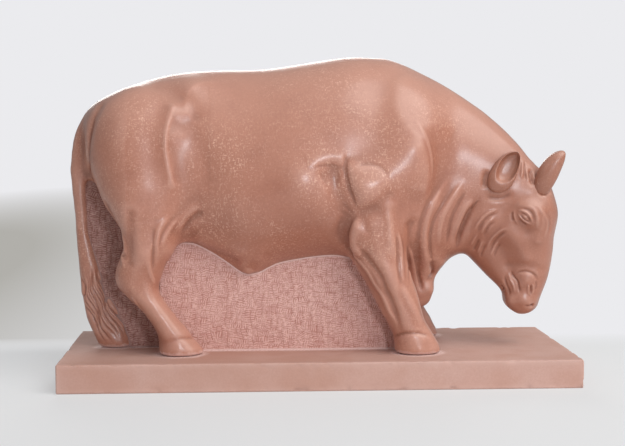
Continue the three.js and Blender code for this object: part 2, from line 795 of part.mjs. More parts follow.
for (const [side, sideName] of [[1, "right"], [-1, "left"]]) {
  const hornPlace = fromHead(hornRoot[0] + 12, side * (hornRoot[1] + 5), hornRoot[2] + 16);
  const horn = seated(onSide(hornForm, side), hornPlace, hornLength * 1.1);
  stone.add(meshOf(`horn_${sideName}`, horn, polished));
  const earPlace = fromHead(earMiddle[0], side * earMiddle[1], earMiddle[2]);
  const ear = seated(onSide(earForm, side), earPlace, earLength * 0.85);
  stone.add(meshOf(`ear_${sideName}`, ear, polished));
}

export default part;
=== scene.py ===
# A bull carved from one block of red sandstone, standing on its own slab.
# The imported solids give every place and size; the surface is carved over them here.
import bmesh
import bpy
import math
import numpy as np
from mathutils import Matrix, Vector, noise
from mathutils.bvhtree import BVHTree
from mathutils.kdtree import KDTree


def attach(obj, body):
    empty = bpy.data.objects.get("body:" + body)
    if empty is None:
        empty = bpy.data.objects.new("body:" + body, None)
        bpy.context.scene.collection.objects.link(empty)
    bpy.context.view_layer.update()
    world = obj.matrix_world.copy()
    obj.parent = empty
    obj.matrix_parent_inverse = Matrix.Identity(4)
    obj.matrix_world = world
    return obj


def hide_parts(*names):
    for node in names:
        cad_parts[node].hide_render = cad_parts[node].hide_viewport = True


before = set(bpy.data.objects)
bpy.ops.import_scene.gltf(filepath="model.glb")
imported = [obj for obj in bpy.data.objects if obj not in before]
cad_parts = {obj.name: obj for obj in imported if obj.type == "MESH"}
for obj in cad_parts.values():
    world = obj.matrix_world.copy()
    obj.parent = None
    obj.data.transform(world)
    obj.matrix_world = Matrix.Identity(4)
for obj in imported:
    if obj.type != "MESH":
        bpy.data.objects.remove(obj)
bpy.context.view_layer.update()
mm = 0.001
scene = bpy.context.scene

# The photograph's frame, and the camera that was fitted to the slab's corners in it
photo = {"width": 625, "height": 446, "focalPixels": 1226.7}
cameraPose = {"place": (-84.08, -1386.02, 276.70), "turn": 0.0571, "tilt": 0.0766, "sensor": 36.0, "clipEnd": 30}


def makeCamera():
    data = bpy.data.cameras.new("photoCamera")
    data.sensor_width = cameraPose["sensor"]
    data.lens = photo["focalPixels"] / photo["width"] * cameraPose["sensor"]
    data.clip_end = cameraPose["clipEnd"]
    camera = bpy.data.objects.new("photoCamera", data)
    scene.collection.objects.link(camera)
    turn, tilt = cameraPose["turn"], cameraPose["tilt"]
    look = Vector((math.sin(turn) * math.cos(tilt), math.cos(turn) * math.cos(tilt), -math.sin(tilt)))
    aim = look.to_track_quat("-Z", "Y").to_matrix()
    place = Vector(cameraPose["place"]) * mm
    camera.matrix_world = Matrix.Translation(place) @ aim.to_4x4()
    scene.camera = camera
    return place, aim


eye, aim = makeCamera()
print("camera placed")


def sightLine(px, py):
    side = (px - photo["width"] / 2) / photo["focalPixels"]
    rise = (photo["height"] / 2 - py) / photo["focalPixels"]
    return (aim @ Vector((side, rise, -1))).normalized()


def pictureWay(dx, dy):
    return (aim @ Vector((dx, -dy, 0))).normalized()


def newObject(name, mesh):
    made = bpy.data.objects.new(name, mesh)
    scene.collection.objects.link(made)
    return made


def appliedMesh(source, name):
    graph = bpy.context.evaluated_depsgraph_get()
    mesh = bpy.data.meshes.new_from_object(source.evaluated_get(graph))
    mesh.name = name
    old = source.data
    bpy.data.objects.remove(source)
    bpy.data.meshes.remove(old)
    return mesh


def meshFrom(solid, name):
    mesh = bpy.data.meshes.new(name)
    solid.to_mesh(mesh)
    solid.free()
    return mesh


def swollenCopy(node, swell):
    solid = bmesh.new()
    solid.from_mesh(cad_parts[node].data)
    bmesh.ops.remove_doubles(solid, verts=solid.verts, dist=1e-6)
    solid.normal_update()
    for v, step in [(v, v.normal * swell) for v in solid.verts]:
        v.co += step
    return newObject(node + "Copy", meshFrom(solid, node + "Copy"))


def addBoolean(target, other, operation):
    cut = target.modifiers.new(operation.lower(), "BOOLEAN")
    cut.operation = operation
    cut.solver = "MANIFOLD"
    cut.object = other


def valuesOf(items, label, wide=1, kind=float):
    flat = np.empty(len(items) * wide, kind)
    items.foreach_get(label, flat)
    return flat.reshape(-1, wide) if wide > 1 else flat


def placesOf(mesh):
    return valuesOf(mesh.vertices, "co", 3)


def normalsOf(mesh):
    return valuesOf(mesh.vertices, "normal", 3)


def setPlaces(mesh, where):
    mesh.vertices.foreach_set("co", where.ravel())
    mesh.update()


def surfaceOf(mesh):
    return BVHTree.FromPolygons([v.co for v in mesh.vertices], [p.vertices[:] for p in mesh.polygons])


def averager(mesh):
    a, b = valuesOf(mesh.edges, "vertices", 2, int).T
    count = len(mesh.vertices)
    ends, others = np.concatenate([a, b]), np.concatenate([b, a])
    order = np.argsort(ends, kind="stable")
    ends, others = ends[order], others[order]
    starts = np.searchsorted(ends, np.arange(count))
    degree = np.bincount(ends, minlength=count)[:, None]

    def average(values, amount, times):
        for _ in range(times):
            mean = np.add.reduceat(values[others], starts, axis=0) / degree
            values = values + amount * (mean - values)
        return values

    return average


def smoothStep(low, high, value):
    t = np.clip((value - low) / (high - low), 0, 1)
    return t * t * (3 - 2 * t)


stoneNodes = [
    "torso", "neck", "head", "brisket", "tail",
    "foreleg_right", "foreleg_left", "hind_leg_right", "hind_leg_left",
]
bull = {
    "weld": 0.3,  # the saw cuts between the solids close by this much each side
    "grain": 1.82,
    "fineHead": (168, 290), "fineTail": (-204, 165),  # from this x on, under this z, the grain is halved
    "softenRounds": 110, "softenRate": 0.6,
    "limbShare": 0.25, "headShare": 0.12,  # softened less where the forms are small
    "limbsUnder": (125, 175), "headFrom": (165, 200), "headUnder": (290, 330), "blendRounds": 12,
    "reliefRounds": 14, "reliefRate": 0.6,
}


def weldedBull():
    copies = [swollenCopy(node, bull["weld"] * mm) for node in stoneNodes]
    for other in copies[1:]:
        addBoolean(copies[0], other, "UNION")
    joined = newObject("bullBlock", appliedMesh(copies[0], "bullBlock"))
    for other in copies[1:]:
        bpy.data.objects.remove(other)
    grid = joined.modifiers.new("grid", "REMESH")
    grid.mode = "VOXEL"
    grid.voxel_size = bull["grain"] * mm
    mesh = appliedMesh(joined, "bull")
    average = averager(mesh)
    rough = placesOf(mesh)
    x, y, z = rough.T / mm
    trunk = smoothStep(*bull["limbsUnder"], z)
    head = smoothStep(*bull["headFrom"], x) * (1 - smoothStep(*bull["headUnder"], z))
    share = bull["limbShare"] + (1 - bull["limbShare"]) * trunk
    share = share * (1 - head) + bull["headShare"] * head
    rate = average(share[:, None], 0.5, bull["blendRounds"]) * bull["softenRate"]
    soft = average(rough, rate, bull["softenRounds"])
    soft = soft + average(rough - soft, rate, bull["softenRounds"])
    setPlaces(mesh, soft)
    setPlaces(mesh, soft - normalsOf(mesh) * bull["weld"] * mm)
    return mesh


def makeFiner(mesh):
    solid = bmesh.new()
    solid.from_mesh(mesh)
    headFrom, headUnder = bull["fineHead"]
    tailFrom, tailUnder = bull["fineTail"]
    chosen = set()
    for f in solid.faces:
        middle = f.calc_center_median() / mm
        if middle.x > headFrom and middle.z < headUnder or middle.x < tailFrom and middle.z < tailUnder:
            chosen.update(f.edges)
    bmesh.ops.subdivide_edges(solid, edges=list(chosen), cuts=1, use_grid_fill=True)
    solid.to_mesh(mesh)
    solid.free()
    mesh.update()


strokes = {
    "missedDepth": 1.36,  # metres from the eye, where the line of sight misses the stone
    "reach": 3.2, "roofReach": 5,  # in widths, past which a stroke does nothing
    "narrow": 6,  # mm, strokes under this width fade out at their ends
    "fade": 0.3, "foldFade": 0.25,  # in shares of the length
}
profiles = {  # height over the distance from the stroke's middle in widths
    "ridge": lambda s: np.exp(-(s**2)),
    "bump": lambda s: np.exp(-(s**2)),
    "groove": lambda s: -np.exp(-(s**2)),
    "crease": lambda s: -np.exp(-1.2 * s),
    "roof": lambda s: np.exp(-np.sqrt(s**2 + 0.02)) - 0.04,
}
evening = {"rounds": 420, "share": 0.9, "from": 0.5, "to": 1.3}


def sightPoints(path, surface, steps=3):
    # a smooth curve through the path's pixels, cast from the eye onto the stone
    pixels = [Vector((x, y, 0)) for x, y in zip(path[::2], path[1::2])]
    fine = []
    for i in range(len(pixels) - 1):
        before = pixels[max(i - 1, 0)]
        after = pixels[min(i + 2, len(pixels) - 1)]
        a, b = pixels[i], pixels[i + 1]
        for k in range(steps):
            t = k / steps
            m0, m1 = (b - before) / 2, (after - a) / 2
            h = (2 * t**3 - 3 * t**2 + 1) * a + (t**3 - 2 * t**2 + t) * m0
            fine.append(h + (-2 * t**3 + 3 * t**2) * b + (t**3 - t**2) * m1)
    fine.append(pixels[-1])
    found, depth = [], strokes["missedDepth"]
    for p in fine:
        line = sightLine(p.x, p.y)
        spot, _, _, reach = surface.ray_cast(eye, line)
        if spot is None:
            spot = surface.find_nearest(eye + line * depth)[0]
        else:
            depth = reach
        found.append(spot)
    return np.array(found)


def lifted(where, normals, points, kind, width, lift, toward):
    # how far each spot near the stroke is raised or sunk, in mm
    result = np.zeros(len(where))
    reach = strokes["roofReach" if kind == "roof" else "reach"] * width * mm
    low, high = points.min(0) - reach, points.max(0) + reach
    inside = np.flatnonzero(np.all((where > low) & (where < high), axis=1))
    if not len(inside):
        return result
    v = where[inside]
    best = np.full(len(v), 1e9)
    share = np.zeros(len(v))
    offset = np.zeros_like(v)
    along = np.zeros_like(v)
    if len(points) == 1:
        offset = v - points[0]
        best = np.linalg.norm(offset, axis=1)
        share[:] = 0.5
    else:
        lengths = np.linalg.norm(np.diff(points, axis=0), axis=1)
        total, done = lengths.sum(), 0.0
        for a, b, length in zip(points[:-1], points[1:], lengths):
            if length < 1e-7:
                continue
            d = (b - a) / length
            t = np.clip((v - a) @ d, 0, length)
            gap = v - a - t[:, None] * d
            far = np.linalg.norm(gap, axis=1)
            nearer = far < best
            best[nearer] = far[nearer]
            share[nearer] = (done + t[nearer]) / total
            offset[nearer] = gap[nearer]
            along[nearer] = d
            done += length
    s = best / (width * mm)
    if kind == "fold":
        across = toward - along * (along @ toward)[:, None]
        n = normals[inside]
        across -= n * np.sum(across * n, axis=1)[:, None]
        across /= np.maximum(np.linalg.norm(across, axis=1), 1e-9)[:, None]
        s = np.sum(offset * across, axis=1) / (width * mm)
        far = best / (width * mm)
        height = lift * s * np.exp(0.5 - 0.5 * far**2)
        height = height * smoothStep(0, strokes["foldFade"], np.minimum(share, 1 - share))
    else:
        height = lift * profiles[kind](s)
    if len(points) > 1 and width < strokes["narrow"]:
        height = height * smoothStep(0, strokes["fade"], np.minimum(share, 1 - share))
    result[inside] = height
    return result


def calm(mesh, spots, reflect):
    # the surface is evened out round each spot and its mirror image
    surface, average = surfaceOf(mesh), averager(mesh)
    where = placesOf(mesh)
    weight = np.zeros(len(where))
    origin, axis = reflect
    for (px, py), reach in spots.values():
        point = np.array(surface.ray_cast(eye, sightLine(px, py))[0])
        for spot in (point, point - 2 * ((point - origin) @ axis) * axis):
            away = np.linalg.norm(where - spot, axis=1) / (reach * mm)
            weight = np.maximum(weight, evening["share"] * (1 - smoothStep(evening["from"], evening["to"], away)))
    setPlaces(mesh, average(where, weight[:, None], evening["rounds"]))


def carve(mesh, drawn, reflect):
    # every stroke is carved where it was drawn, and on the far side as its mirror image
    surface = surfaceOf(mesh)
    where, normals = placesOf(mesh), normalsOf(mesh)
    total = np.zeros(len(where))
    origin, axis = reflect
    for kind, width, lift, path, *way in drawn.values():
        toward = np.array(pictureWay(*way[0])) if way else None
        points = sightPoints(path, surface) if len(path) > 2 else sightPoints(path * 2, surface, 1)[:1]
        total += lifted(where, normals, points, kind, width, lift, toward)
        back = points - 2 * ((points - origin) @ axis)[:, None] * axis
        snapped = np.array([surface.find_nearest(Vector(p))[0] for p in back])
        turned = None if toward is None else toward - 2 * (toward @ axis) * axis
        total += lifted(where, normals, snapped, kind, width, lift, turned)
    setPlaces(mesh, where + normals * total[:, None] * mm)


# Planes of symmetry of the body and of the turned head: a point and the way across
midPlane = (np.array([0, 0, 0]), np.array([0, 1.0, 0]))
headPose = {"turn": math.radians(15), "middle": (225, -15, 0)}
headAcross = np.array([-math.sin(headPose["turn"]), -math.cos(headPose["turn"]), 0])
headMiddle = (np.array(headPose["middle"]) * mm, headAcross)

# Spots that are evened out before the carving: pixel of the photograph, reach in mm
bodyCalm = {"shoulderTop": ((434, 100), 36), "loin": ((214, 102), 24)}
# Strokes: kind, width and lift in mm, path (x, y, x, y ...) in pixels of the photograph, raised side of a fold
bodyForms = {
    "hipBone": ("bump", 17, 2.2, [184, 82]),
    "behindHip": ("groove", 12, 1.6, [158, 88, 168, 92, 177, 100]),
    "hipPoint": ("bump", 11, 2.2, [178, 112]),
    "flankBand": ("bump", 10, 1, [177, 138]),
    "rumpTop": ("bump", 20, 2.4, [92, 106]),
    "hipUnder": ("groove", 10, 1.1, [186, 98, 192, 108, 197, 118]),
    "loinHollow": ("groove", 28, 1, [212, 98, 240, 104, 262, 104]),
    "thighEdge": ("roof", 8, 4.2, [172, 108, 167.6, 122, 165.2, 136, 165, 150, 168, 168, 171, 184]),
    "flankGroove": ("groove", 13, 1.5, [192, 122, 199, 140, 205, 158, 210, 178]),
    "thighMuscle": ("ridge", 22, 2.4, [122, 120, 122, 150, 126, 186]),
    "thighFront": ("groove", 13, 0.7, [152, 124, 151, 160, 154, 200]),
    "thighLower": ("ridge", 14, 3.2, [128, 214, 132, 234, 140, 254]),
    "behindThigh": ("groove", 8, 2.4, [107, 208, 116, 228, 120, 250]),
    "ribBulge": ("bump", 32, 5.6, [300, 183]),
    "ribCorner": ("bump", 14, 1, [299, 176]),
    "ribUnder": ("fold", 10, 1.2, [312, 174, 320, 169, 332, 168, 346, 171], (0, -1)),
    "bellySide": ("ridge", 36, 5.6, [245, 208, 285, 212, 318, 210]),
    "bellyUnder": ("fold", 9, 1.6, [186, 238, 208, 246, 232, 254, 250, 262], (0.3, -1)),
    "shoulderBack": ("fold", 12, 2.6, [346, 156, 345, 172, 349, 191, 359, 213], (1, 0)),
    "shoulderMass": ("bump", 30, 5.4, [399, 176]),
    "shoulderBall": ("bump", 19, 3.8, [369, 187]),
    "ballArc": ("groove", 2.6, 0.6, [353, 173, 360, 167, 369, 164.5, 379, 167, 386, 174.5, 389, 184]),
    "ballUnder": ("groove", 9, 1.3, [358, 211, 368, 210, 378, 204, 386, 194]),
    "shoulderFront": ("fold", 13, 2.6, [421, 126, 428, 144, 431.6, 162, 431, 184, 424, 206], (-1, 0)),
    "neckPlane": ("groove", 22, 1.6, [446, 150, 452, 172]),
    "elbow": ("fold", 8, 4.4, [361, 214, 352, 221, 348, 232, 350, 246, 358, 262], (1, 0)),
    "elbowBump": ("bump", 13, 1.4, [362, 236]),
    "foreArm": ("ridge", 12, 2.6, [376, 226, 380, 250, 388, 276]),
    "upperArm": ("ridge", 9, 2.6, [388, 206, 390, 226, 392, 250]),
    "chest": ("groove", 9, 3.4, [412, 226, 414, 256, 420, 282]),
    "sheathPoint": ("bump", 5, 3, [248, 271]),
    "gaskinHollow": ("groove", 6, 1.8, [131, 214, 131.4, 236, 130, 262]),
}
bodyDetails = {
    "flankFold": ("fold", 5, 1.2, [206, 206, 198, 210, 186, 221, 179, 236], (-1, -1)),
    "flankFoldEdge": ("crease", 2, 1.2, [204, 210, 195, 216, 186, 226, 181, 238]),
    "stifleRidge": ("ridge", 3.2, 1.8, [170, 214, 161, 226, 155, 240, 151, 254]),
    "stifleRidgeTwo": ("ridge", 2.6, 1.1, [182, 214, 173, 224, 166, 236, 160, 250]),
    "tendon": ("ridge", 2.6, 2, [119.6, 226, 121.6, 240, 122.6, 256, 123, 271]),
    "shinEdge": ("ridge", 2.4, 0.9, [148, 258, 150, 272, 156, 286]),
    "hockScratch": ("ridge", 1.5, 1.3, [130.6, 295.6, 136, 302.6, 143, 311.6]),
    "tailGroove": ("crease", 3.6, 2.6, [99, 104, 92, 120, 87.6, 140, 87, 162, 91, 184, 99, 204]),
    "tailGrooveWide": ("groove", 7.5, 2.2, [99, 108, 92, 124, 88, 146, 88.6, 168, 94, 190, 102, 208]),
    "ribCrease": ("crease", 1.7, 0.9, [308, 171, 316, 167, 326, 165.4, 347, 168]),
    "shoulderCrease": ("crease", 2.8, 2.6, [347, 152, 345.4, 170, 349.6, 190, 359, 211]),
    "elbowCrease": ("crease", 2.8, 3, [360, 214, 351, 222, 347, 234, 350, 248, 360, 266]),
    "hipEdge": ("ridge", 1.8, 0.8, [170, 116, 166.4, 128, 165, 142, 165.6, 156]),
    "frontEdge": ("ridge", 2.4, 1, [414, 116, 426, 138, 431.6, 160, 431.6, 182]),
    "armEdge": ("roof", 4.5, 2.4, [387, 206, 389.6, 222, 390.5, 238, 393, 256]),
    "armGroove": ("groove", 2.6, 1.3, [397, 230, 397.6, 250, 399, 270, 402, 290]),
    "armEdgeTwo": ("ridge", 2.2, 1.9, [396.7, 228, 401, 248, 402, 270.5, 404, 284]),
    "armGrooveTwo": ("groove", 2.4, 1.4, [405.4, 240, 408.4, 258, 409.4, 275, 410, 293]),
    "neckFoldOne": ("roof", 4, 3, [452, 174, 437, 196, 427, 218, 423.6, 240, 425, 260, 431, 275]),
    "neckGrooveOne": ("crease", 2.4, 2.4, [456, 184, 443, 203, 433, 222, 430, 240, 432, 258, 438, 268]),
    "neckFoldTwo": ("roof", 3.6, 2.8, [466, 178, 452, 198, 443, 216, 439, 232, 439.6, 249]),
    "neckGrooveTwo": ("crease", 2.2, 2.2, [468, 188, 457, 206, 450, 224, 447, 247]),
    "neckGrooveZero": ("groove", 4.5, 1.6, [443, 182, 429, 202, 420, 226, 418, 250, 422, 272]),
    "chestFold": ("crease", 4, 6.4, [440, 272, 432.4, 277, 424, 281]),
    "dewlapLow": ("bump", 8, 4, [429, 289]),
    "dewlapHigh": ("bump", 7, 1.6, [442, 263]),
    "dewlapNotch": ("bump", 4.2, -4.8, [433, 276.6]),
    "jawEdge": ("roof", 3.6, 3.2, [474, 197, 467, 206.6, 461.6, 217, 457.4, 228, 453.6, 240]),
    "jawNeck": ("crease", 4.6, 7, [482, 197, 474, 206, 467.4, 216.6, 462.6, 228, 459.4, 239, 457, 250]),
    "pasternFore": ("crease", 2.2, 1.6, [393, 337, 404, 333.6, 418, 333, 432, 336]),
    "pasternHind": ("crease", 2.2, 1.4, [160, 343, 174, 340, 188, 338, 199, 338]),
    "kneeFore": ("bump", 9, 1.4, [392, 288]),
    "gaskinCrease": ("crease", 2, 1.6, [155.4, 226, 153.6, 240, 152.8, 256, 153.4, 272]),
    "gaskinRidge": ("ridge", 1.8, 1.2, [159, 230, 157, 243, 156.6, 258]),
    "legRearEdge": ("ridge", 1.8, 1.6, [
        349, 237, 352, 252, 366.7, 270.5, 374.4, 284, 383, 297, 389, 312, 395.5, 322, 399, 335,
    ]),
    "legRearGroove": ("groove", 4.5, 2.2, [
        354, 228, 357, 242, 364, 254, 379, 273, 387, 290, 394.5, 309.5, 399, 326, 404.5, 344,
    ]),
    "legFrontRidge": ("ridge", 4.5, 1.8, [400, 282, 409, 299.5, 417, 314, 423, 330]),
    "armEdgeThree": ("ridge", 2.2, 2, [408, 244, 412, 259, 415.4, 275, 418.4, 287, 422, 299]),
    "armGrooveThree": ("crease", 2, 2.6, [416.7, 268, 419, 280, 421.6, 292]),
}
headForms = {
    "forehead": ("bump", 13, 1.6, [548, 205]),
    "socket": ("groove", 7, 2.2, [519, 224, 527, 231]),
    "browRise": ("ridge", 6, 1.6, [522, 205, 534, 206, 540, 214, 541, 226, 538, 240]),
    "cheekBone": ("ridge", 8, 1.8, [508, 230, 518, 244, 526, 258]),
    "cheekHollow": ("groove", 10, 2.8, [498, 246, 505, 260, 511, 272]),
    "jowl": ("bump", 16, 3.4, [486, 224]),
    "noseBridge": ("ridge", 8, 1.2, [547, 236, 543, 255, 538, 270]),
    "noseBulb": ("bump", 9, 2, [525.5, 281]),
    "upperLip": ("ridge", 6, 1.2, [522, 298, 528, 302, 534, 301]),
    "muzzleNeck": ("groove", 6, 1.4, [508, 266, 516, 264.6, 528, 265.6, 540, 269]),
    "chin": ("bump", 7, 1.6, [510, 300]),
}
headDetails = {
    "eyeBall": ("bump", 3.6, 1.3, [525.6, 217.4]),
    "upperLid": ("ridge", 1, 1.4, [517, 211, 521.6, 210.8, 526.4, 212.6, 530.4, 217, 532.8, 223.6]),
    "lowerLid": ("ridge", 0.95, 0.9, [517.6, 212.4, 520.6, 217.4, 525, 221.4, 532, 224.8]),
    "lidLine": ("groove", 0.8, 0.8, [519.4, 213, 523.2, 213.6, 526.6, 216, 529.4, 220, 531, 223]),
    "lidLineLow": ("groove", 0.8, 0.8, [519.4, 213.6, 522.6, 217.6, 526.4, 220.4, 530.6, 222.8]),
    "aboveLid": ("groove", 1.4, 0.7, [518, 208.4, 524, 208.4, 530, 211.2, 533.4, 216.6, 534.8, 224]),
    "browLine": ("ridge", 1.8, 0.6, [521, 207, 528.7, 206.4, 534.2, 209.6, 537, 216, 537.2, 223, 536, 231]),
    "browOuterGroove": ("groove", 2.2, 0.6, [534, 205, 539.4, 211, 541.2, 219, 540.4, 230]),
    "browOuter": ("ridge", 2.2, 0.8, [537, 207, 543, 212.4, 546.4, 219.4, 546.8, 226, 545, 234, 543, 242]),
    "browEdge": ("groove", 2, 0.6, [547, 210, 549.6, 217, 549.8, 226, 548, 236]),
    "eyeCorner": ("groove", 1.6, 1, [513, 210.6, 511.8, 216, 513.2, 222]),
    "eyeCornerRidge": ("ridge", 1.2, 0.7, [515, 209, 514, 214, 515.4, 219.4, 519, 226]),
    "underEye": ("groove", 1.5, 0.8, [518.4, 218, 522.4, 222.6, 528, 226]),
    "wrinkleOne": ("ridge", 1.5, 1.04, [500, 209, 490, 212, 482, 218, 477, 225, 474.4, 232]),
    "wrinkleOneLow": ("groove", 1.6, 1.04, [500, 212.4, 491, 215.4, 484, 221, 479.4, 228, 477, 235]),
    "wrinkleTwo": ("ridge", 1.4, 0.88, [495, 217.6, 488, 222, 483.6, 228, 481, 235]),
    "wrinkleTwoLow": ("groove", 1.5, 0.96, [497, 220.6, 490, 225, 486, 231, 483.6, 238]),
    "wrinkleThree": ("ridge", 1.5, 1.12, [508, 227, 500, 231, 493, 237, 489, 243, 486.6, 252]),
    "wrinkleThreeLow": ("groove", 1.6, 1.12, [508, 230.6, 501.6, 234.2, 496, 240, 492.6, 246, 490, 254]),
    "wrinkleFour": ("ridge", 1.4, 0.88, [499, 240, 494, 246.4, 490, 257]),
    "wrinkleFourLow": ("groove", 1.4, 0.88, [501, 243, 497, 249, 493.4, 258]),
    "wrinkleFive": ("ridge", 1.4, 0.96, [477, 234, 473.6, 240, 470.4, 246]),
    "wrinkleSix": ("ridge", 1.5, 1.12, [483, 240, 479.8, 247, 477, 254]),
    "wrinkleSixLow": ("groove", 1.5, 1.12, [479.4, 238, 476.4, 244.4, 473, 251]),
    "wrinkleSeven": ("groove", 1.5, 0.96, [486, 243, 483, 250, 480, 257.6]),
    "mouth": ("crease", 1.5, 2.6, [511, 269, 512.6, 275, 517, 281, 519, 288, 519.6, 295]),
    "mouthFold": ("ridge", 1.5, 0.96, [507.8, 271, 510.2, 279, 513.6, 286.6, 515, 295]),
    "mouthFoldBack": ("groove", 1.7, 1.2, [504.4, 274, 505.8, 283, 508.6, 290, 509.4, 298]),
    "chinNotch": ("groove", 2.2, 1.8, [500.4, 284, 504, 291]),
    "nostril": ("crease", 1, 1.8, [530.6, 284, 531, 289, 530.2, 295]),
    "nostrilRimBack": ("ridge", 1, 1.3, [528.6, 284, 528.4, 290, 529.2, 295.6]),
    "nostrilRim": ("ridge", 1, 1.3, [532.4, 283, 533, 289, 532.2, 295]),
    "nostrilWing": ("groove", 1.6, 0.8, [535, 280, 536.4, 285, 535.4, 291]),
    "alarArch": ("groove", 1.7, 1.2, [515, 276, 519, 272, 527, 271.4, 534.6, 275, 538.4, 282]),
    "lipLine": ("groove", 1.6, 1.2, [524, 305, 529, 306.4, 535, 304]),
    "lipHole": ("bump", 1.8, -2.2, [532, 305.6]),
    "earBase": ("groove", 3.6, 2.08, [484, 194, 492, 198, 504, 197.6, 514, 191]),
    "earShade": ("groove", 3.4, 1.92, [485, 190, 484.4, 180, 488, 169]),
    "pollRidge": ("ridge", 1.8, 1.44, [522, 158, 522.4, 168, 521, 180]),
    "pollRidgeTwo": ("ridge", 1.5, 1.04, [526.4, 169, 527.4, 176, 530, 183]),
    "pollGroove": ("groove", 1.6, 1.04, [524.6, 162, 524.8, 172, 525.4, 181]),
    "hornSide": ("groove", 2.8, 2.24, [530.4, 168, 530.8, 177, 534, 187]),
    "hornFoot": ("groove", 2, 1.6, [536, 190.6, 543, 194, 551, 190.6]),
}
# Locks of the tail brush, before they are given their waves: paths as above
brush = {
    "deep": (1.9, 3.6), "shallow": (1.3, 2),  # width and lift in mm, in turn
    "step": 8, "wave": 1.9, "waveLength": 31,  # px
    "shift": 0.55, "rootShare": 0.35,  # each lock's wave is moved on, and starts small at the root
    "locks": [
        [80.6, 269.5, 81.9, 283.3, 83, 297.6, 87.4, 311.7, 94.2, 323.5, 101.4, 334.4, 107.3, 345.6],
        [82.6, 268.6, 83.2, 282.8, 84.6, 297.2, 90.3, 311.1, 97.2, 322.9, 102.9, 334],
        [84.4, 282.3, 87.4, 296.4, 93.5, 310.4, 98.9, 322.6, 104.8, 333.6, 112.3, 344],
        [84.8, 267.6, 86.4, 281.6, 90.5, 295.5, 95.4, 310, 100.6, 322.2, 107.9, 332.8],
        [86.3, 266.9, 89, 280.6, 92.6, 295, 96.9, 309.7, 103.5, 321.6, 111.3, 331.9, 117, 342.6],
        [91.1, 279.8, 94, 294.6, 99.3, 309.1, 107.1, 320.9, 113.5, 331.4],
        [90.3, 265.1, 92.3, 279.3, 95.8, 294.1, 102.7, 308.4, 109.8, 320.3, 115, 331, 120.7, 341.5],
        [91.5, 264.5, 93.6, 278.8, 98.7, 293.3, 105.8, 307.8, 111.4, 320, 117.1, 330.5],
        [95.7, 278, 101.7, 292.5, 107.5, 307.4, 113.3, 319.6, 120.4, 329.6, 126.6, 339.7],
        [94, 263.4, 98.3, 277, 103.6, 291.9, 109.1, 307.1, 116.4, 319, 123.6, 328.8],
        [96.1, 262.4, 100, 276.4, 105, 291.6, 111.7, 306.5, 119.5, 318.3, 125.6, 328.4, 129.7, 338.7],
    ],
}


def wavyLocks():
    drawn = {}
    for i, path in enumerate(brush["locks"]):
        across, down = path[::2], path[1::2]
        count = max(4, round((down[-1] - down[0]) / brush["step"]) + 1)
        waved = []
        for k, y in enumerate(np.linspace(down[0], down[-1], count).tolist()):
            swing = math.sin(2 * math.pi * y / brush["waveLength"] + i * brush["shift"])
            x = float(np.interp(y, down, across)) + brush["wave"] * swing * min(1, brush["rootShare"] + k / 4)
            waved += [round(x, 1), round(y, 1)]
        drawn[i] = ("crease", *brush["shallow" if i % 2 else "deep"], waved)
    return drawn


beyond, under = 1000, -9  # mm, past every side of the bull, and past its feet
slabThickness = 31
joints = {  # mm, heights above the slab
    "tail": -257, "neck": 118, "gaskin": 119, "elbow": 103, "brisket": 80, "brisketRear": 92, "brisketHalf": 24,
    "throat": (157, 78), "poll": (223, 242), "foreRear": 20, "lead": 14, "hindFront": -115, "neckFloor": 60,
}


def block(rear, front, floor, top):
    return [(rear, floor), (front, floor), (front, top), (rear, top)]


def foreBlock(rear):
    front, elbow, brisket = joints["neck"], joints["elbow"], joints["brisket"]
    return [(rear, under), (beyond, under), (beyond, brisket), (front, brisket), (front, elbow), (rear, elbow)]


hindBlock = [
    (-beyond, under), (joints["hindFront"], under), (joints["hindFront"], 40.4),
    (-158, joints["gaskin"]), (-beyond, joints["gaskin"]),
]
tailBlock = [
    (-beyond, under), (-196, under), (-212, 25.5), (-226, 49.9), (-236, 83.5), (-245, 116), (-252, 160),
    (joints["tail"], 200), (joints["tail"], beyond), (-beyond, beyond),
]
headBlock = [
    (joints["throat"][0], under), (beyond, under), (beyond, beyond), (joints["poll"][0], beyond),
    joints["poll"], joints["throat"],
]
brisketBlock = block(joints["brisketRear"], beyond, under, joints["brisket"])
regions = {  # outline in x and height above the slab, nearest and furthest y
    "tail": (tailBlock, -beyond, beyond),
    "head": (headBlock, -beyond, beyond),
    "brisket": (brisketBlock, -joints["brisketHalf"], joints["brisketHalf"]),
    "foreleg_right": (foreBlock(joints["foreRear"]), -beyond, 0),
    "foreleg_left": (foreBlock(joints["foreRear"] + joints["lead"]), 0, beyond),
    "hind_leg_right": (hindBlock, -beyond, 0),
    "hind_leg_left": (hindBlock, 0, beyond),
    "neck": (block(joints["neck"], beyond, joints["neckFloor"], beyond), -beyond, beyond),
}


def regionSolid(outline, near, furthest):
    solid = bmesh.new()
    corners = [solid.verts.new(Vector((x, near, h + slabThickness)) * mm) for x, h in outline]
    face = solid.faces.new(corners)
    grown = bmesh.ops.extrude_face_region(solid, geom=[face])
    moved = [g for g in grown["geom"] if isinstance(g, bmesh.types.BMVert)]
    bmesh.ops.translate(solid, verts=moved, vec=(0, (furthest - near) * mm, 0))
    bmesh.ops.recalc_face_normals(solid, faces=solid.faces)
    return newObject("region", meshFrom(solid, "region"))


def parted(mesh, cutter, operation):
    whole = newObject("whole", mesh.copy())
    addBoolean(whole, cutter, operation)
    return appliedMesh(whole, operation)


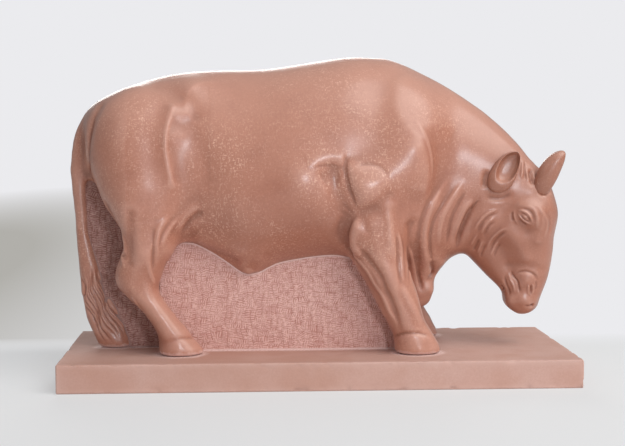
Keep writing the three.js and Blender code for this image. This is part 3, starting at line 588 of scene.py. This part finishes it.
def carryOver(mesh, nearest, normals, relief):
    # the normals and the relief of the whole bull, so that no joint shows; sawn faces keep their own
    match = np.array([nearest.find(p)[1] for p in placesOf(mesh)])
    putValues(mesh, relief=relief[match])
    sizes = valuesOf(mesh.polygons, "loop_total", kind=int)
    faceOfLoop = np.repeat(np.arange(len(sizes)), sizes)
    flat = valuesOf(mesh.polygons, "normal", 3)[faceOfLoop]
    carried = normals[match][valuesOf(mesh.loops, "vertex_index", kind=int)]
    agreement = np.bincount(faceOfLoop, np.sum(carried * flat, axis=1)) / sizes
    sawnLoops = (agreement < 0.5)[faceOfLoop]
    carried[sawnLoops] = flat[sawnLoops]
    mesh.shade_smooth()
    mesh.normals_split_custom_set(carried.tolist())


def reliefOf(mesh):
    # how far each spot stands out of the softened surface, in mm
    average = averager(mesh)
    where, normals = placesOf(mesh), normalsOf(mesh)
    return np.sum((where - average(where, bull["reliefRate"], bull["reliefRounds"])) * normals, axis=1) / mm


def partBull(mesh):
    normals = normalsOf(mesh)
    relief = reliefOf(mesh)
    print("relief spread in mm:", np.percentile(relief, [2, 20, 50, 80, 98]).round(3))
    nearest = KDTree(len(mesh.vertices))
    for i, p in enumerate(placesOf(mesh)):
        nearest.insert(p, i)
    nearest.balance()
    rest = mesh
    pieces = {}
    for name, (outline, near, furthest) in regions.items():
        cutter = regionSolid(outline, near, furthest)
        pieces[name] = parted(rest, cutter, "INTERSECT")
        rest = parted(rest, cutter, "DIFFERENCE")
        bpy.data.objects.remove(cutter)
    pieces["torso"] = rest
    for piece in pieces.values():
        carryOver(piece, nearest, normals, relief)
    return pieces


def pictureSpot(px, py, depthPoint, nearer):
    forward = aim @ Vector((0, 0, -1))
    line = sightLine(px, py)
    reach = (Vector(depthPoint) * mm - eye).dot(forward) / line.dot(forward)
    return eye + line * reach - forward * nearer * mm


def closedCurve(points, count):
    # even steps along a smooth loop through the points
    found = []
    size = len(points)
    for k in range(count):
        at = k / count * size
        i, t = int(at), at - int(at)
        p0, p1, p2, p3 = (Vector(points[(i + s) % size]) for s in (-1, 0, 1, 2))
        spot = 2 * p1 + (p2 - p0) * t + (2 * p0 - 5 * p1 + 4 * p2 - p3) * t**2
        found.append(0.5 * (spot + (3 * p1 - p0 - 3 * p2 + p3) * t**3))
    return found


roundingLevels = 3


def loftRings(rings, name):
    solid = bmesh.new()
    loops = []
    for ring in rings:
        made = bmesh.ops.create_circle(solid, segments=len(ring), radius=mm)
        for v, spot in zip(made["verts"], ring):
            v.co = spot
        loops.append(list({e for v in made["verts"] for e in v.link_edges}))
    for one, two in zip(loops[:-1], loops[1:]):
        bmesh.ops.bridge_loops(solid, edges=one + two)
    bmesh.ops.holes_fill(solid, edges=loops[0] + loops[-1], sides=0)
    bmesh.ops.recalc_face_normals(solid, faces=solid.faces)
    mesh = meshFrom(solid, name)
    rounded = newObject(name, mesh)
    levels = rounded.modifiers.new("rounding", "SUBSURF")
    levels.levels = levels.render_levels = roundingLevels
    return appliedMesh(rounded, name)


def mirroredCopy(mesh, name):
    origin, axis = (Vector(v) for v in headMiddle)
    solid = bmesh.new()
    solid.from_mesh(mesh)
    for v in solid.verts:
        v.co -= 2 * (v.co - origin).dot(axis) * axis
    bmesh.ops.reverse_faces(solid, faces=solid.faces)
    return meshFrom(solid, name)


ear = {
    "depthPoint": (205.5, -55.4, 224.5),
    "outline": [
        (487.5, 188), (486.6, 181), (488.6, 173), (493, 165.5), (499.5, 158), (506.5, 153),
        (513, 151), (518.6, 151.4), (520.6, 157), (520, 166), (517, 176), (512.5, 186),
        (507, 191.6), (500, 194), (492.5, 193),
    ],
    "mouth": [
        (496.5, 179.5), (495.8, 173), (497.6, 167), (501, 160), (505.5, 155.5), (509, 153.4),
        (513.5, 152.2), (517.4, 152.8), (519.2, 157), (518.8, 164), (516.8, 170), (514, 175.5),
        (510.5, 180), (505.5, 182.6), (500, 182.6),
    ],
    "rings": [  # share of the way from the middle, how much of the mouth's outline, nearer to the eye
        (0.45, 0.0, -15), (0.86, 0.0, -7), (1.0, 0.0, -2), (1.0, 0.35, 2.2), (1.0, 0.8, 4.6),
        (0.99, 1.0, 4.4), (0.93, 1.0, 1.6), (0.82, 1.0, -1.8), (0.55, 1.0, -3.4), (0.2, 1.0, -3.6),
    ],
    "sides": 44,
}
horn = {
    "depthPoint": (250.5, -51.5, 225.7),
    "line": [
        (540.5, 196), (542.5, 187), (545.2, 180), (548.4, 172),
        (553, 164), (558, 158), (561.6, 154.6), (563.6, 153.2),
    ],
    "halfWidths": [7.0, 9.2, 10.4, 10.9, 9.6, 7.2, 4.2, 1.6],
    "depthShare": 0.82,
    "lean": [-7, -3, -1, 1, 3, 5, 6, 6.5],
    "sides": 20,
}


def makeEar():
    outer = closedCurve(ear["outline"], ear["sides"])
    inner = closedCurve(ear["mouth"], ear["sides"])
    outerMiddle = sum(outer, Vector((0, 0))) / len(outer)
    innerMiddle = sum(inner, Vector((0, 0))) / len(inner)
    rings = []
    for size, mouth, nearer in ear["rings"]:
        ring = []
        for a, b in zip(outer, inner):
            middle = outerMiddle.lerp(innerMiddle, mouth)
            spot = middle + (a.lerp(b, mouth) - middle) * size
            ring.append(pictureSpot(spot.x, spot.y, ear["depthPoint"], nearer))
        rings.append(ring)
    return loftRings(rings, "ear_right")


def makeHorn():
    line = [Vector(p) for p in horn["line"]]
    rings = []
    for i, (spot, half, lean) in enumerate(zip(line, horn["halfWidths"], horn["lean"])):
        along = (line[min(i + 1, len(line) - 1)] - line[max(i - 1, 0)]).normalized()
        across = Vector((-along.y, along.x))
        ring = []
        for k in range(horn["sides"]):
            turn = 2 * math.pi * k / horn["sides"]
            p = spot + across * math.cos(turn) * half
            nearer = lean + math.sin(turn) * half * horn["depthShare"]
            ring.append(pictureSpot(p.x, p.y, horn["depthPoint"], nearer))
        rings.append(ring)
    return loftRings(rings, "horn_right")


web = {
    "belly": {
        "x": (-176, 96), "z": (30.5, 160), "half": 33.0, "slim": 0.0, "shade": 0.0, "upright": 0.42, "behind": (),
    },
    "tail": {
        "x": (-262, -166), "z": (30.5, 240), "half": 7.0, "slim": 4.0, "shade": 1.0, "upright": 0.12,
        "behind": ((-262, 240), (-259, 167), (-250, 101), (-243, 80), (-232, 57), (-226, 30)),
    },
    "grain": 0.82, "hiddenDepth": 4.0, "shift": 500, "farShift": 37,
    "patch": 5.6, "pitch": 1.95, "deep": 0.75, "ends": (0.36, 0.5),  # mm, chisel strokes
    "layerShift": (3.9, 3.1), "secondShare": 0.8, "secondGaps": 0.45,
    "rim": (0.2, 2.2), "rimShare": 0.6, "slabRim": (31.5, 33.2), "slimRise": (120, 215),
}


def hashed(i, j, seed):
    value = np.sin(i * 127.1 + j * 311.7 + seed * 74.7) * 43758.5453
    return value - np.floor(value)


def chiselHeight(x, z, upright):
    # patches of short strokes, upright or lying, in two layers; 1 is uncut, 0 the bottom of a stroke
    x = x + 1.3 * np.sin(z / 9.1 + 0.6) + 0.8 * np.sin(z / 3.7 + x / 6.0)
    z = z + 1.2 * np.sin(x / 8.3 + 1.9) + 0.8 * np.sin(x / 4.1 - z / 7.0)
    best = np.full(len(x), -1.0)
    size = web["patch"]
    for layer in range(2):
        u, w = (x + layer * web["layerShift"][0]) / size, (z + layer * web["layerShift"][1]) / size
        i, j = np.floor(u), np.floor(w)
        u, w = u - i - 0.5, w - j - 0.5
        standing = hashed(i, j, layer) < upright
        tilt = (hashed(i, j, layer + 5) - 0.5) * 0.5
        across = np.where(standing, u + tilt * w, w + tilt * u) * size
        along = np.where(standing, w, u)
        pitch = web["pitch"] * (0.85 + 0.4 * hashed(i, j, layer + 9))
        wave = 0.5 + 0.5 * np.cos(2 * math.pi * (across / pitch + hashed(i, j, layer + 13)))
        stroke = wave**1.5 * (1 - smoothStep(*web["ends"], np.abs(along)))
        second = web["secondShare"] * (hashed(i, j, 21) > web["secondGaps"])
        best = np.maximum(best, stroke * (second if layer else 1))
    return np.clip(best, 0, 1)


def hiddenSpots(plate, surface, half, leaning):
    # spots that lie deep in the bull on both sides, or behind the tail's front
    hidden = {}
    heights, limits = zip(*[(z, x) for x, z in leaning[::-1]]) if leaning else ((), ())
    for v in plate.verts:
        if leaning and v.co.x / mm < np.interp(v.co.z / mm, heights, limits):
            hidden[v] = True
            continue
        deepest = 1e9
        for side in (-1, 1):
            spot = Vector((v.co.x, side * half * mm, v.co.z))
            near, normal, _, distance = surface.find_nearest(spot)
            deepest = min(deepest, distance if (spot - near).dot(normal) < 0 else 0)
        hidden[v] = deepest > web["hiddenDepth"] * mm
    return hidden


def keepBiggest(plate):
    # what hangs loose of the main plate goes
    faces = set(plate.faces)
    groups = []
    while faces:
        group, front = set(), [faces.pop()]
        while front:
            f = front.pop()
            group.add(f)
            for e in f.edges:
                for g in e.link_faces:
                    if g in faces:
                        faces.remove(g)
                        front.append(g)
        groups.append(group)
    biggest = max(groups, key=len)
    bmesh.ops.delete(plate, geom=[f for f in plate.faces if f not in biggest], context="FACES")


def putValues(mesh, **fields):
    for label, values in fields.items():
        mesh.attributes.new(label, "FLOAT", "POINT").data.foreach_set("value", values.astype(np.float32))


def webPlate(name, surface):
    how = web[name]
    (x0, x1), (z0, z1), half = how["x"], how["z"], how["half"]
    plate = bmesh.new()
    columns, rows = round((x1 - x0) / web["grain"]), round((z1 - z0) / web["grain"])
    bmesh.ops.create_grid(plate, x_segments=columns, y_segments=rows, size=1)
    for v in plate.verts:
        v.co = Vector((x0 + (x1 - x0) * (v.co.x + 1) / 2, -half, z0 + (z1 - z0) * (v.co.y + 1) / 2)) * mm
    hidden = hiddenSpots(plate, surface, half, how["behind"])
    lost = [f for f in plate.faces if all(hidden[v] for v in f.verts)]
    bmesh.ops.delete(plate, geom=lost, context="FACES")
    keepBiggest(plate)
    copied = bmesh.ops.duplicate(plate, geom=plate.verts[:] + plate.edges[:] + plate.faces[:])
    moved = [g for g in copied["geom"] if isinstance(g, bmesh.types.BMVert)]
    bmesh.ops.translate(plate, verts=moved, vec=(0, 2 * half * mm, 0))
    bmesh.ops.bridge_loops(plate, edges=[e for e in plate.edges if e.is_boundary])
    bmesh.ops.recalc_face_normals(plate, faces=plate.faces)
    mesh = meshFrom(plate, name + "_web")
    where = placesOf(mesh)
    x, y, z = where.T / mm
    away = np.array([surface.find_nearest(Vector(p))[3] for p in where]) / mm
    height = chiselHeight(x + web["shift"] + web["farShift"] * (y > 0), z, how["upright"])
    # a plain rim beside the bull and the slab
    edge = 1 - smoothStep(*web["rim"], away)
    edge = np.maximum(edge, 1 - smoothStep(*web["slabRim"], z))
    height = height * (1 - edge)
    y = y - np.sign(y) * web["deep"] * (1 - height) * (1 - web["rimShare"] * edge)
    y = y - np.sign(y) * how["slim"] * smoothStep(*web["slimRise"], z)
    setPlaces(mesh, np.stack([x, y, z], axis=1) * mm)
    putValues(mesh, stroke=height, edge=edge, shade=np.full(len(x), how["shade"]))
    return mesh


slab = {  # mm
    "size": (560, 220, slabThickness), "corner": 1.9, "grain": 2.0,
    "wave": 0.3, "worn": (0.5, 7.0), "chip": 1.1, "marks": (1.5, 9.0), "marksRagged": 3, "marksDown": 1.5,
    "flatUnder": 0.6, "coarse": 62, "fine": 150, "fineShare": 0.6,  # waves of the skin
}


def makeSlab(surface):
    # worn arrises, pale chisel marks left round the hooves and the web
    wide, deep, thick = slab["size"]
    solid = bmesh.new()
    bmesh.ops.create_cube(solid, size=1)
    bmesh.ops.scale(solid, vec=Vector((wide, deep, thick)) * mm, verts=solid.verts)
    bmesh.ops.translate(solid, vec=(0, 0, thick / 2 * mm), verts=solid.verts)
    corner = slab["corner"] * mm
    bmesh.ops.bevel(
        solid, geom=solid.edges[:], offset=corner, affect="EDGES", segments=3, profile=0.5, material=-1
    )
    for axis, length in ((0, wide), (1, deep), (2, thick)):
        count = int(length / slab["grain"])
        for k in range(1, count):
            level, normal = Vector((0, 0, 0)), Vector((0, 0, 0))
            level[axis] = ((k / count - (0.5 if axis < 2 else 0)) * length) * mm
            normal[axis] = 1
            everything = solid.verts[:] + solid.edges[:] + solid.faces[:]
            bmesh.ops.bisect_plane(solid, geom=everything, plane_co=level, plane_no=normal)
    mesh = meshFrom(solid, "plinthStone")
    where, normals = placesOf(mesh), normalsOf(mesh)
    spots = [Vector(p) for p in where]
    coarse = np.array([noise.noise(p * slab["coarse"]) for p in spots])
    rough = coarse + slab["fineShare"] * np.array([noise.noise(p * slab["fine"]) for p in spots])
    x, y, z = where.T / mm
    gaps = np.stack([wide / 2 - np.abs(x), deep / 2 - np.abs(y), np.minimum(z, thick - z)])
    arris = 1 - smoothStep(*slab["worn"], np.sort(gaps, axis=0)[1])
    sink = slab["wave"] * (0.5 + 0.5 * rough) + slab["chip"] * arris * smoothStep(0.1, 0.7, rough)
    sink = np.maximum(sink, 0.0)
    setPlaces(mesh, where - normals * (sink * (z > slab["flatUnder"]))[:, None] * mm)
    away = np.array([surface.find_nearest(p)[3] for p in spots]) / mm
    belly, tail = web["belly"], web["tail"]
    for rear, front, half in ((*belly["x"], belly["half"]), (tail["behind"][-1][0], tail["x"][1], tail["half"])):
        beside = (x > rear) & (x < front)
        away = np.minimum(away, np.where(beside, np.abs(np.abs(y) - half), beyond))
    marks = (1 - smoothStep(*slab["marks"], away + slab["marksRagged"] * rough)) * (z > thick - slab["marksDown"])
    putValues(mesh, marks=marks, arris=arris)
    return mesh


def linear(colour):
    return tuple((c / 255 / 12.92 if c <= 10 else ((c / 255 + 0.055) / 1.055) ** 2.4) for c in colour) + (1,)


class Wire:
    # a socket that adds Math nodes when it is used in an expression
    def __init__(self, finish, socket):
        self.finish = finish
        self.socket = socket

    def maths(self, operation, *others):
        return self.finish.node("ShaderNodeMath", {"operation": operation}, *others)[0]

    def __add__(self, other):
        return self.maths("ADD", self, other)

    __radd__ = __add__

    def __sub__(self, other):
        return self.maths("SUBTRACT", self, other)

    def __rsub__(self, other):
        return self.maths("SUBTRACT", other, self)

    def __mul__(self, other):
        return self.maths("MULTIPLY", self, other)

    __rmul__ = __mul__

    def __pow__(self, other):
        return self.maths("POWER", self, other)


class Finish:
    def __init__(self, name):
        self.material = bpy.data.materials.new(name)
        self.material.use_nodes = True
        self.tree = self.material.node_tree
        self.shader = self.tree.nodes["Principled BSDF"]
        self.colour = None  # what has been painted so far
        self.place = self.node("ShaderNodeTexCoord", {}, out=["Object"])[0]

    def node(self, kind, settings, *inputs, out=None, **named):
        made = self.tree.nodes.new(kind)
        for key, value in settings.items():
            setattr(made, key, value)
        for key, value in list(enumerate(inputs)) + list(named.items()):
            if value is not None:
                self.fill(made.inputs[key.replace("_", " ") if isinstance(key, str) else key], value)
        return [Wire(self, made.outputs[o]) for o in out] if out else [Wire(self, o) for o in made.outputs]

    def fill(self, socket, value):
        if isinstance(value, Wire):
            self.tree.links.new(value.socket, socket)
        else:
            socket.default_value = value

    def noise(self, scale, detail=2.0, rough=0.5, place=None):
        how = {"Vector": place or self.place, "Scale": scale, "Detail": detail, "Roughness": rough}
        return self.node("ShaderNodeTexNoise", {}, out=["Fac"], **how)[0]

    def turned(self, scale, rotation):
        return self.node("ShaderNodeMapping", {}, self.place, Scale=scale, Rotation=rotation)[0]

    def axes(self, vector):
        return self.node("ShaderNodeSeparateXYZ", {}, vector)

    def step(self, value, low, high, first=0.0, last=1.0):
        return self.node("ShaderNodeMapRange", {"clamp": True}, value, low, high, first, last)[0]

    def blend(self, share, one, two):
        colours = [linear(c) if isinstance(c, tuple) else c for c in (one, two)]
        made = self.node("ShaderNodeMix", {"data_type": "RGBA"}, Factor=share)
        for socket, value in zip(made[2].socket.node.inputs[6:8], colours):
            self.fill(socket, value)
        return made[2]

    def cover(self, share, colour):
        self.colour = self.blend(share, self.colour, colour)

    def attribute(self, name):
        return self.node("ShaderNodeAttribute", {"attribute_name": name}, out=["Fac"])[0]

    def bump(self, height, distance, strength=1.0, normal=None):
        how = {"Height": height, "Distance": distance, "Strength": strength, "Normal": normal}
        return self.node("ShaderNodeBump", {}, **how)[0]

    def put(self, **values):
        for key, value in values.items():
            self.fill(self.shader.inputs[key.replace("_", " ")], value)
        return self.material


polished = {
    "mid": (170, 111, 89), "pale": (182, 124, 102), "deep": (156, 97, 77), "grain": (138, 82, 63),
    # the hollow colour is painted shade and dirt in the hollows
    "speck": (214, 168, 146), "hollow": (112, 62, 44), "crest": (214, 166, 148),
    # the dust colour is dust and a painted sheen where the stone faces up
    "foot": (216, 180, 170), "head": (154, 100, 79), "dustAndSheen": (206, 160, 143),
    "deepShare": 0.5, "grainShare": 0.34, "headShare": 0.4, "fleckShare": 0.68, "dotShare": 0.6,
    "hollowShare": 0.42, "crestShare": 0.26, "dustAndSheenShare": 0.55, "footShare": 0.8,
    "reliefFull": 0.34,  # mm out of the softened surface, for the full colour of a hollow or crest
    "dotScale": 210, "dotSize": 0.24, "fleckScale": 430,
    "headFrom": (0.15, 0.21), "fewerFrom": (0.12, 0.19), "legsUnder": (0.09, 0.16),  # m
    "footTop": (0.0375, 0.0405), "footRagged": 0.008,  # m
    "rough": 0.36, "coat": 0.42, "coatRough": 0.24,
}


def polishedStone(name, brown):
    how = polished
    f = Finish(name)
    drift, patches, grains = f.noise(7, 3), f.noise(38, 4, 0.6), f.noise(420, 3, 0.7)
    f.colour = f.blend(f.step(drift, 0.35, 0.68), how["mid"], how["pale"])
    f.cover(f.step(patches, 0.5, 0.72, 0.0, how["deepShare"]), how["deep"])
    f.cover(f.step(grains, 0.3, 0.7, 0.0, how["grainShare"]), how["grain"])
    # browner towards the head and horns
    x, _, z = f.axes(f.place)
    f.cover(f.step(x, *how["headFrom"], brown, brown + how["headShare"]), how["head"])
    # short pale flecks and dots, in crowds, fewer on the head and legs
    crowd = f.step(f.noise(15, 3, 0.6), 0.4, 0.66, 0.12, 1.0)
    crowd = crowd * f.step(x, *how["fewerFrom"], 1.0, 0.25) * f.step(z, *how["legsUnder"], 0.35, 1.0)
    upright, lying = f.turned((1.5, 1.0, 0.6), (0, 0.3, 0)), f.turned((0.6, 1.0, 1.5), (0, 0.2, 0))
    flecks = f.step(f.noise(how["fleckScale"], 2, 0.6, upright), 0.56, 0.68)
    flecks = flecks + f.step(f.noise(how["fleckScale"], 2, 0.6, lying), 0.57, 0.69)
    standing = f.turned((1.0, 1.0, 1.6), (0, 0.5, 0))
    distance, tint = f.node(
        "ShaderNodeTexVoronoi", {}, Vector=standing, Scale=how["dotScale"], out=["Distance", "Color"]
    )
    chosen = f.step(f.node("ShaderNodeSeparateColor", {}, tint)[0] + crowd * 0.5, 1.2, 1.22)
    dots = f.step(distance, how["dotSize"] * 0.55, how["dotSize"], 1.0, 0.0) * chosen
    f.cover(flecks * crowd * how["fleckShare"], how["speck"])
    f.cover(dots * how["dotShare"], how["speck"])
    # dark in the hollows: painted shade, and dirt; rubbed pale on the crests
    relief = f.attribute("relief")
    hollow = f.step(relief, -how["reliefFull"], -0.02, 1.0, 0.0)
    f.cover(hollow * how["hollowShare"], how["hollow"])
    f.cover(f.step(relief, 0.06, how["reliefFull"]) * how["crestShare"], how["crest"])
    # paler where the stone faces up: dust, and a painted sheen of the light from above
    facing = f.axes(f.node("ShaderNodeTexCoord", {}, out=["Normal"])[0])[2]
    f.cover(f.step(facing, 0.05, 0.9, 0.0, how["dustAndSheenShare"]), how["dustAndSheen"])
    # pale chisel marks where the stone meets the slab
    height = z + f.noise(120, 3, 0.6) * how["footRagged"]
    foot = f.step(height, *how["footTop"], 1.0, 0.0) * f.step(grains, 0.3, 0.5, 0.5, 1.0)
    f.cover(foot * how["footShare"], how["foot"])
    rough = f.step(patches, 0.3, 0.7, how["rough"] - 0.05, how["rough"] + 0.08) + grains * 0.12 + hollow * 0.15
    normal = f.bump(flecks, 0.0001, 0.4, f.bump(grains, 0.00012, 0.6))
    return f.put(
        Base_Color=f.colour, Roughness=rough, Coat_Weight=how["coat"], Coat_Roughness=how["coatRough"], Normal=normal
    )


tooled = {
    "floor": (176, 118, 105), "shade": (104, 62, 50), "stroke": (222, 180, 171), "edge": (234, 208, 202),
    "drift": (190, 134, 122), "grain": (232, 198, 188), "rough": 0.88,
}


def tooledStone():
    how = tooled
    f = Finish("tooledStone")
    stroke, edge = f.attribute("stroke"), f.attribute("edge")
    drift, grains = f.noise(16, 3), f.noise(520, 3, 0.7)
    f.colour = f.blend(f.step(stroke, 0.05, 0.8), how["floor"], how["stroke"])
    f.cover(f.step(drift, 0.35, 0.7, 0.0, 0.25), how["drift"])
    f.cover(f.step(grains, 0.45, 0.75, 0.0, 0.35), how["grain"])
    f.cover(edge * 0.75, how["edge"])
    # painted shade: darker on the narrow web behind the legs, most at the bottom of the strokes
    f.cover(f.attribute("shade") * (1 - stroke * 0.45) * 0.7, how["shade"])
    return f.put(Base_Color=f.colour, Roughness=how["rough"], Normal=f.bump(grains, 0.0002, 0.7))


sawn = {
    "mid": (187, 145, 130), "warm": (180, 134, 115), "pale": (197, 160, 148), "mark": (232, 206, 200),
    "grain": (160, 112, 98), "rough": 0.82,
}


def sawnStone():
    how = sawn
    f = Finish("sawnStone")
    drift, grains = f.noise(11, 3), f.noise(480, 3, 0.7)
    f.colour = f.blend(f.step(drift, 0.35, 0.68), how["mid"], how["pale"])
    f.cover(f.step(f.noise(30, 4), 0.5, 0.75, 0.0, 0.4), how["warm"])
    f.cover(f.step(grains, 0.3, 0.7, 0.0, 0.2), how["grain"])
    # scored marks round the feet and webs, worn arrises
    across = f.turned((1, 1, 1), (0, 0, 0.7))
    scored = f.node("ShaderNodeTexWave", {}, across, Scale=90.0, Distortion=6.0, Detail=2.0, out=["Fac"])[0]
    pale = f.attribute("marks") * f.step(scored, 0.2, 0.7, 0.35, 1.0)
    pale = pale + f.attribute("arris") * f.step(grains, 0.35, 0.6) * 0.15
    f.cover(pale, how["mark"])
    return f.put(Base_Color=f.colour, Roughness=how["rough"], Normal=f.bump(grains, 0.00016, 0.6))


def placePiece(mesh, material, node):
    mesh.materials.clear()
    mesh.materials.append(material)
    if not mesh.has_custom_normals:
        mesh.shade_smooth()
    piece = newObject(node + "_stone", mesh)
    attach(piece, "root")
    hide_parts(node)


bullMesh = weldedBull()
print("bull welded and softened:", len(bullMesh.vertices))
calm(bullMesh, bodyCalm, midPlane)
makeFiner(bullMesh)
carve(bullMesh, bodyForms, midPlane)
carve(bullMesh, headForms, headMiddle)
carve(bullMesh, bodyDetails, midPlane)
carve(bullMesh, headDetails, headMiddle)
carve(bullMesh, wavyLocks(), midPlane)
print("bull carved:", len(bullMesh.vertices))
bullSurface = surfaceOf(bullMesh)

polishedFinish = polishedStone("polishedStone", 0.0)
hornFinish = polishedStone("hornStone", 0.5)
tooledFinish = tooledStone()
sawnFinish = sawnStone()
for name, mesh in partBull(bullMesh).items():
    placePiece(mesh, polishedFinish, name)
    print(name, len(mesh.polygons))

for name, mesh in (("ear", makeEar()), ("horn", makeHorn())):
    left = mirroredCopy(mesh, name + "Left")
    placePiece(mesh, hornFinish, name + "_right")
    placePiece(left, hornFinish, name + "_left")
print("ears and horns set")

for name in ("belly", "tail"):
    mesh = webPlate(name, bullSurface)
    placePiece(mesh, tooledFinish, name + "_web")
    print(name, "web cut:", len(mesh.polygons))

placePiece(makeSlab(bullSurface), sawnFinish, "plinth")
print("slab made")


table = {
    "size": 14, "rough": 0.9, "colour": (228, 229, 230),
    # the grey colour is painted shade at the left of the floor
    "near": (226, 227, 228), "paper": (235, 235, 238), "paintedShadeGrey": (177, 175, 170),
    "paperFrom": (0.14, 0.24), "farFrom": (0.5, 1.5),  # m
    "paintedShadePlace": (-0.75, 0.9), "paintedShadeShare": (1.4, 0.28), "paintedShadeFade": (0.3, 1.05),
}


def addFloor():
    solid = bmesh.new()
    bmesh.ops.create_grid(solid, x_segments=1, y_segments=1, size=table["size"])
    floor = newObject("floor", meshFrom(solid, "floor"))
    paint = Finish("floorPaint")
    x, y, _ = paint.axes(paint.place)
    # pale paper past the edge of the table, with a soft painted shade at the left
    past = paint.step(y, *table["paperFrom"])
    back = 1 - (1 - past) * (1 - paint.step((x * x + y * y) ** 0.5, *table["farFrom"]))
    across = (x - table["paintedShadePlace"][0]) * table["paintedShadeShare"][0]
    deeper = (y - table["paintedShadePlace"][1]) * table["paintedShadeShare"][1]
    away = (across * across + deeper * deeper) ** 0.5
    paper = paint.blend(paint.step(away, *table["paintedShadeFade"], 1.0, 0.0), table["paper"], table["paintedShadeGrey"])
    colour = paint.blend(back, table["near"], paint.blend(past, table["paper"], paper))
    paint.put(Base_Color=linear(table["colour"]), Roughness=table["rough"])
    seen = paint.node("ShaderNodeLightPath", {}, out=["Is Camera Ray"])[0]
    glow = paint.node("ShaderNodeEmission", {}, colour, 1.0)[0]
    surface = Wire(paint, paint.shader.outputs["BSDF"])
    mixed = paint.node("ShaderNodeMixShader", {}, seen * (0.5 + back * 0.5), surface, glow)[0]
    paint.fill(paint.tree.nodes["Material Output"].inputs["Surface"], mixed)
    floor.data.materials.append(paint.material)


addFloor()
print("floor laid")

warmWhite, coolWhite = (1, 0.98, 0.95), (0.86, 0.93, 1)
lamps = {
    "keyLamp": {"place": (1.3, -1.2, 1.8), "size": 2.4, "power": 50, "colour": warmWhite},
    "frontLamp": {"place": (0.62, -2.3, 0.52), "size": 0.38, "power": 14, "colour": coolWhite},
    "leftLamp": {"place": (-1.3, -1.7, 0.95), "size": 1.3, "power": 3.5, "colour": warmWhite},
    "rearLamp": {"place": (-0.2, 2.6, 0.9), "size": 1.6, "power": 26, "colour": warmWhite},
}
lampAim = Vector((0, 0, 0.15))
for name, how in lamps.items():
    data = bpy.data.lights.new(name, "AREA")
    data.shape = "DISK"
    data.size = how["size"]
    data.energy = how["power"]
    data.color = how["colour"]
    lamp = newObject(name, data)
    lamp.location = how["place"]
    lamp.rotation_euler = (lampAim - Vector(how["place"])).to_track_quat("-Z", "Y").to_euler()

studio = {"colour": (236, 238, 242), "light": 0.35, "seen": (235, 235, 238)}
sky = bpy.data.worlds.new("studio")
sky.use_nodes = True
nodes, links = sky.node_tree.nodes, sky.node_tree.links
soft, seen = nodes["Background"], nodes.new("ShaderNodeBackground")
soft.inputs["Color"].default_value = linear(studio["colour"])
soft.inputs["Strength"].default_value = studio["light"]
seen.inputs["Color"].default_value = linear(studio["seen"])
path, mixed = nodes.new("ShaderNodeLightPath"), nodes.new("ShaderNodeMixShader")
links.new(path.outputs["Is Camera Ray"], mixed.inputs["Fac"])
links.new(soft.outputs["Background"], mixed.inputs[1])
links.new(seen.outputs["Background"], mixed.inputs[2])
links.new(mixed.outputs["Shader"], nodes["World Output"].inputs["Surface"])
scene.world = sky
scene.view_settings.view_transform = "Standard"
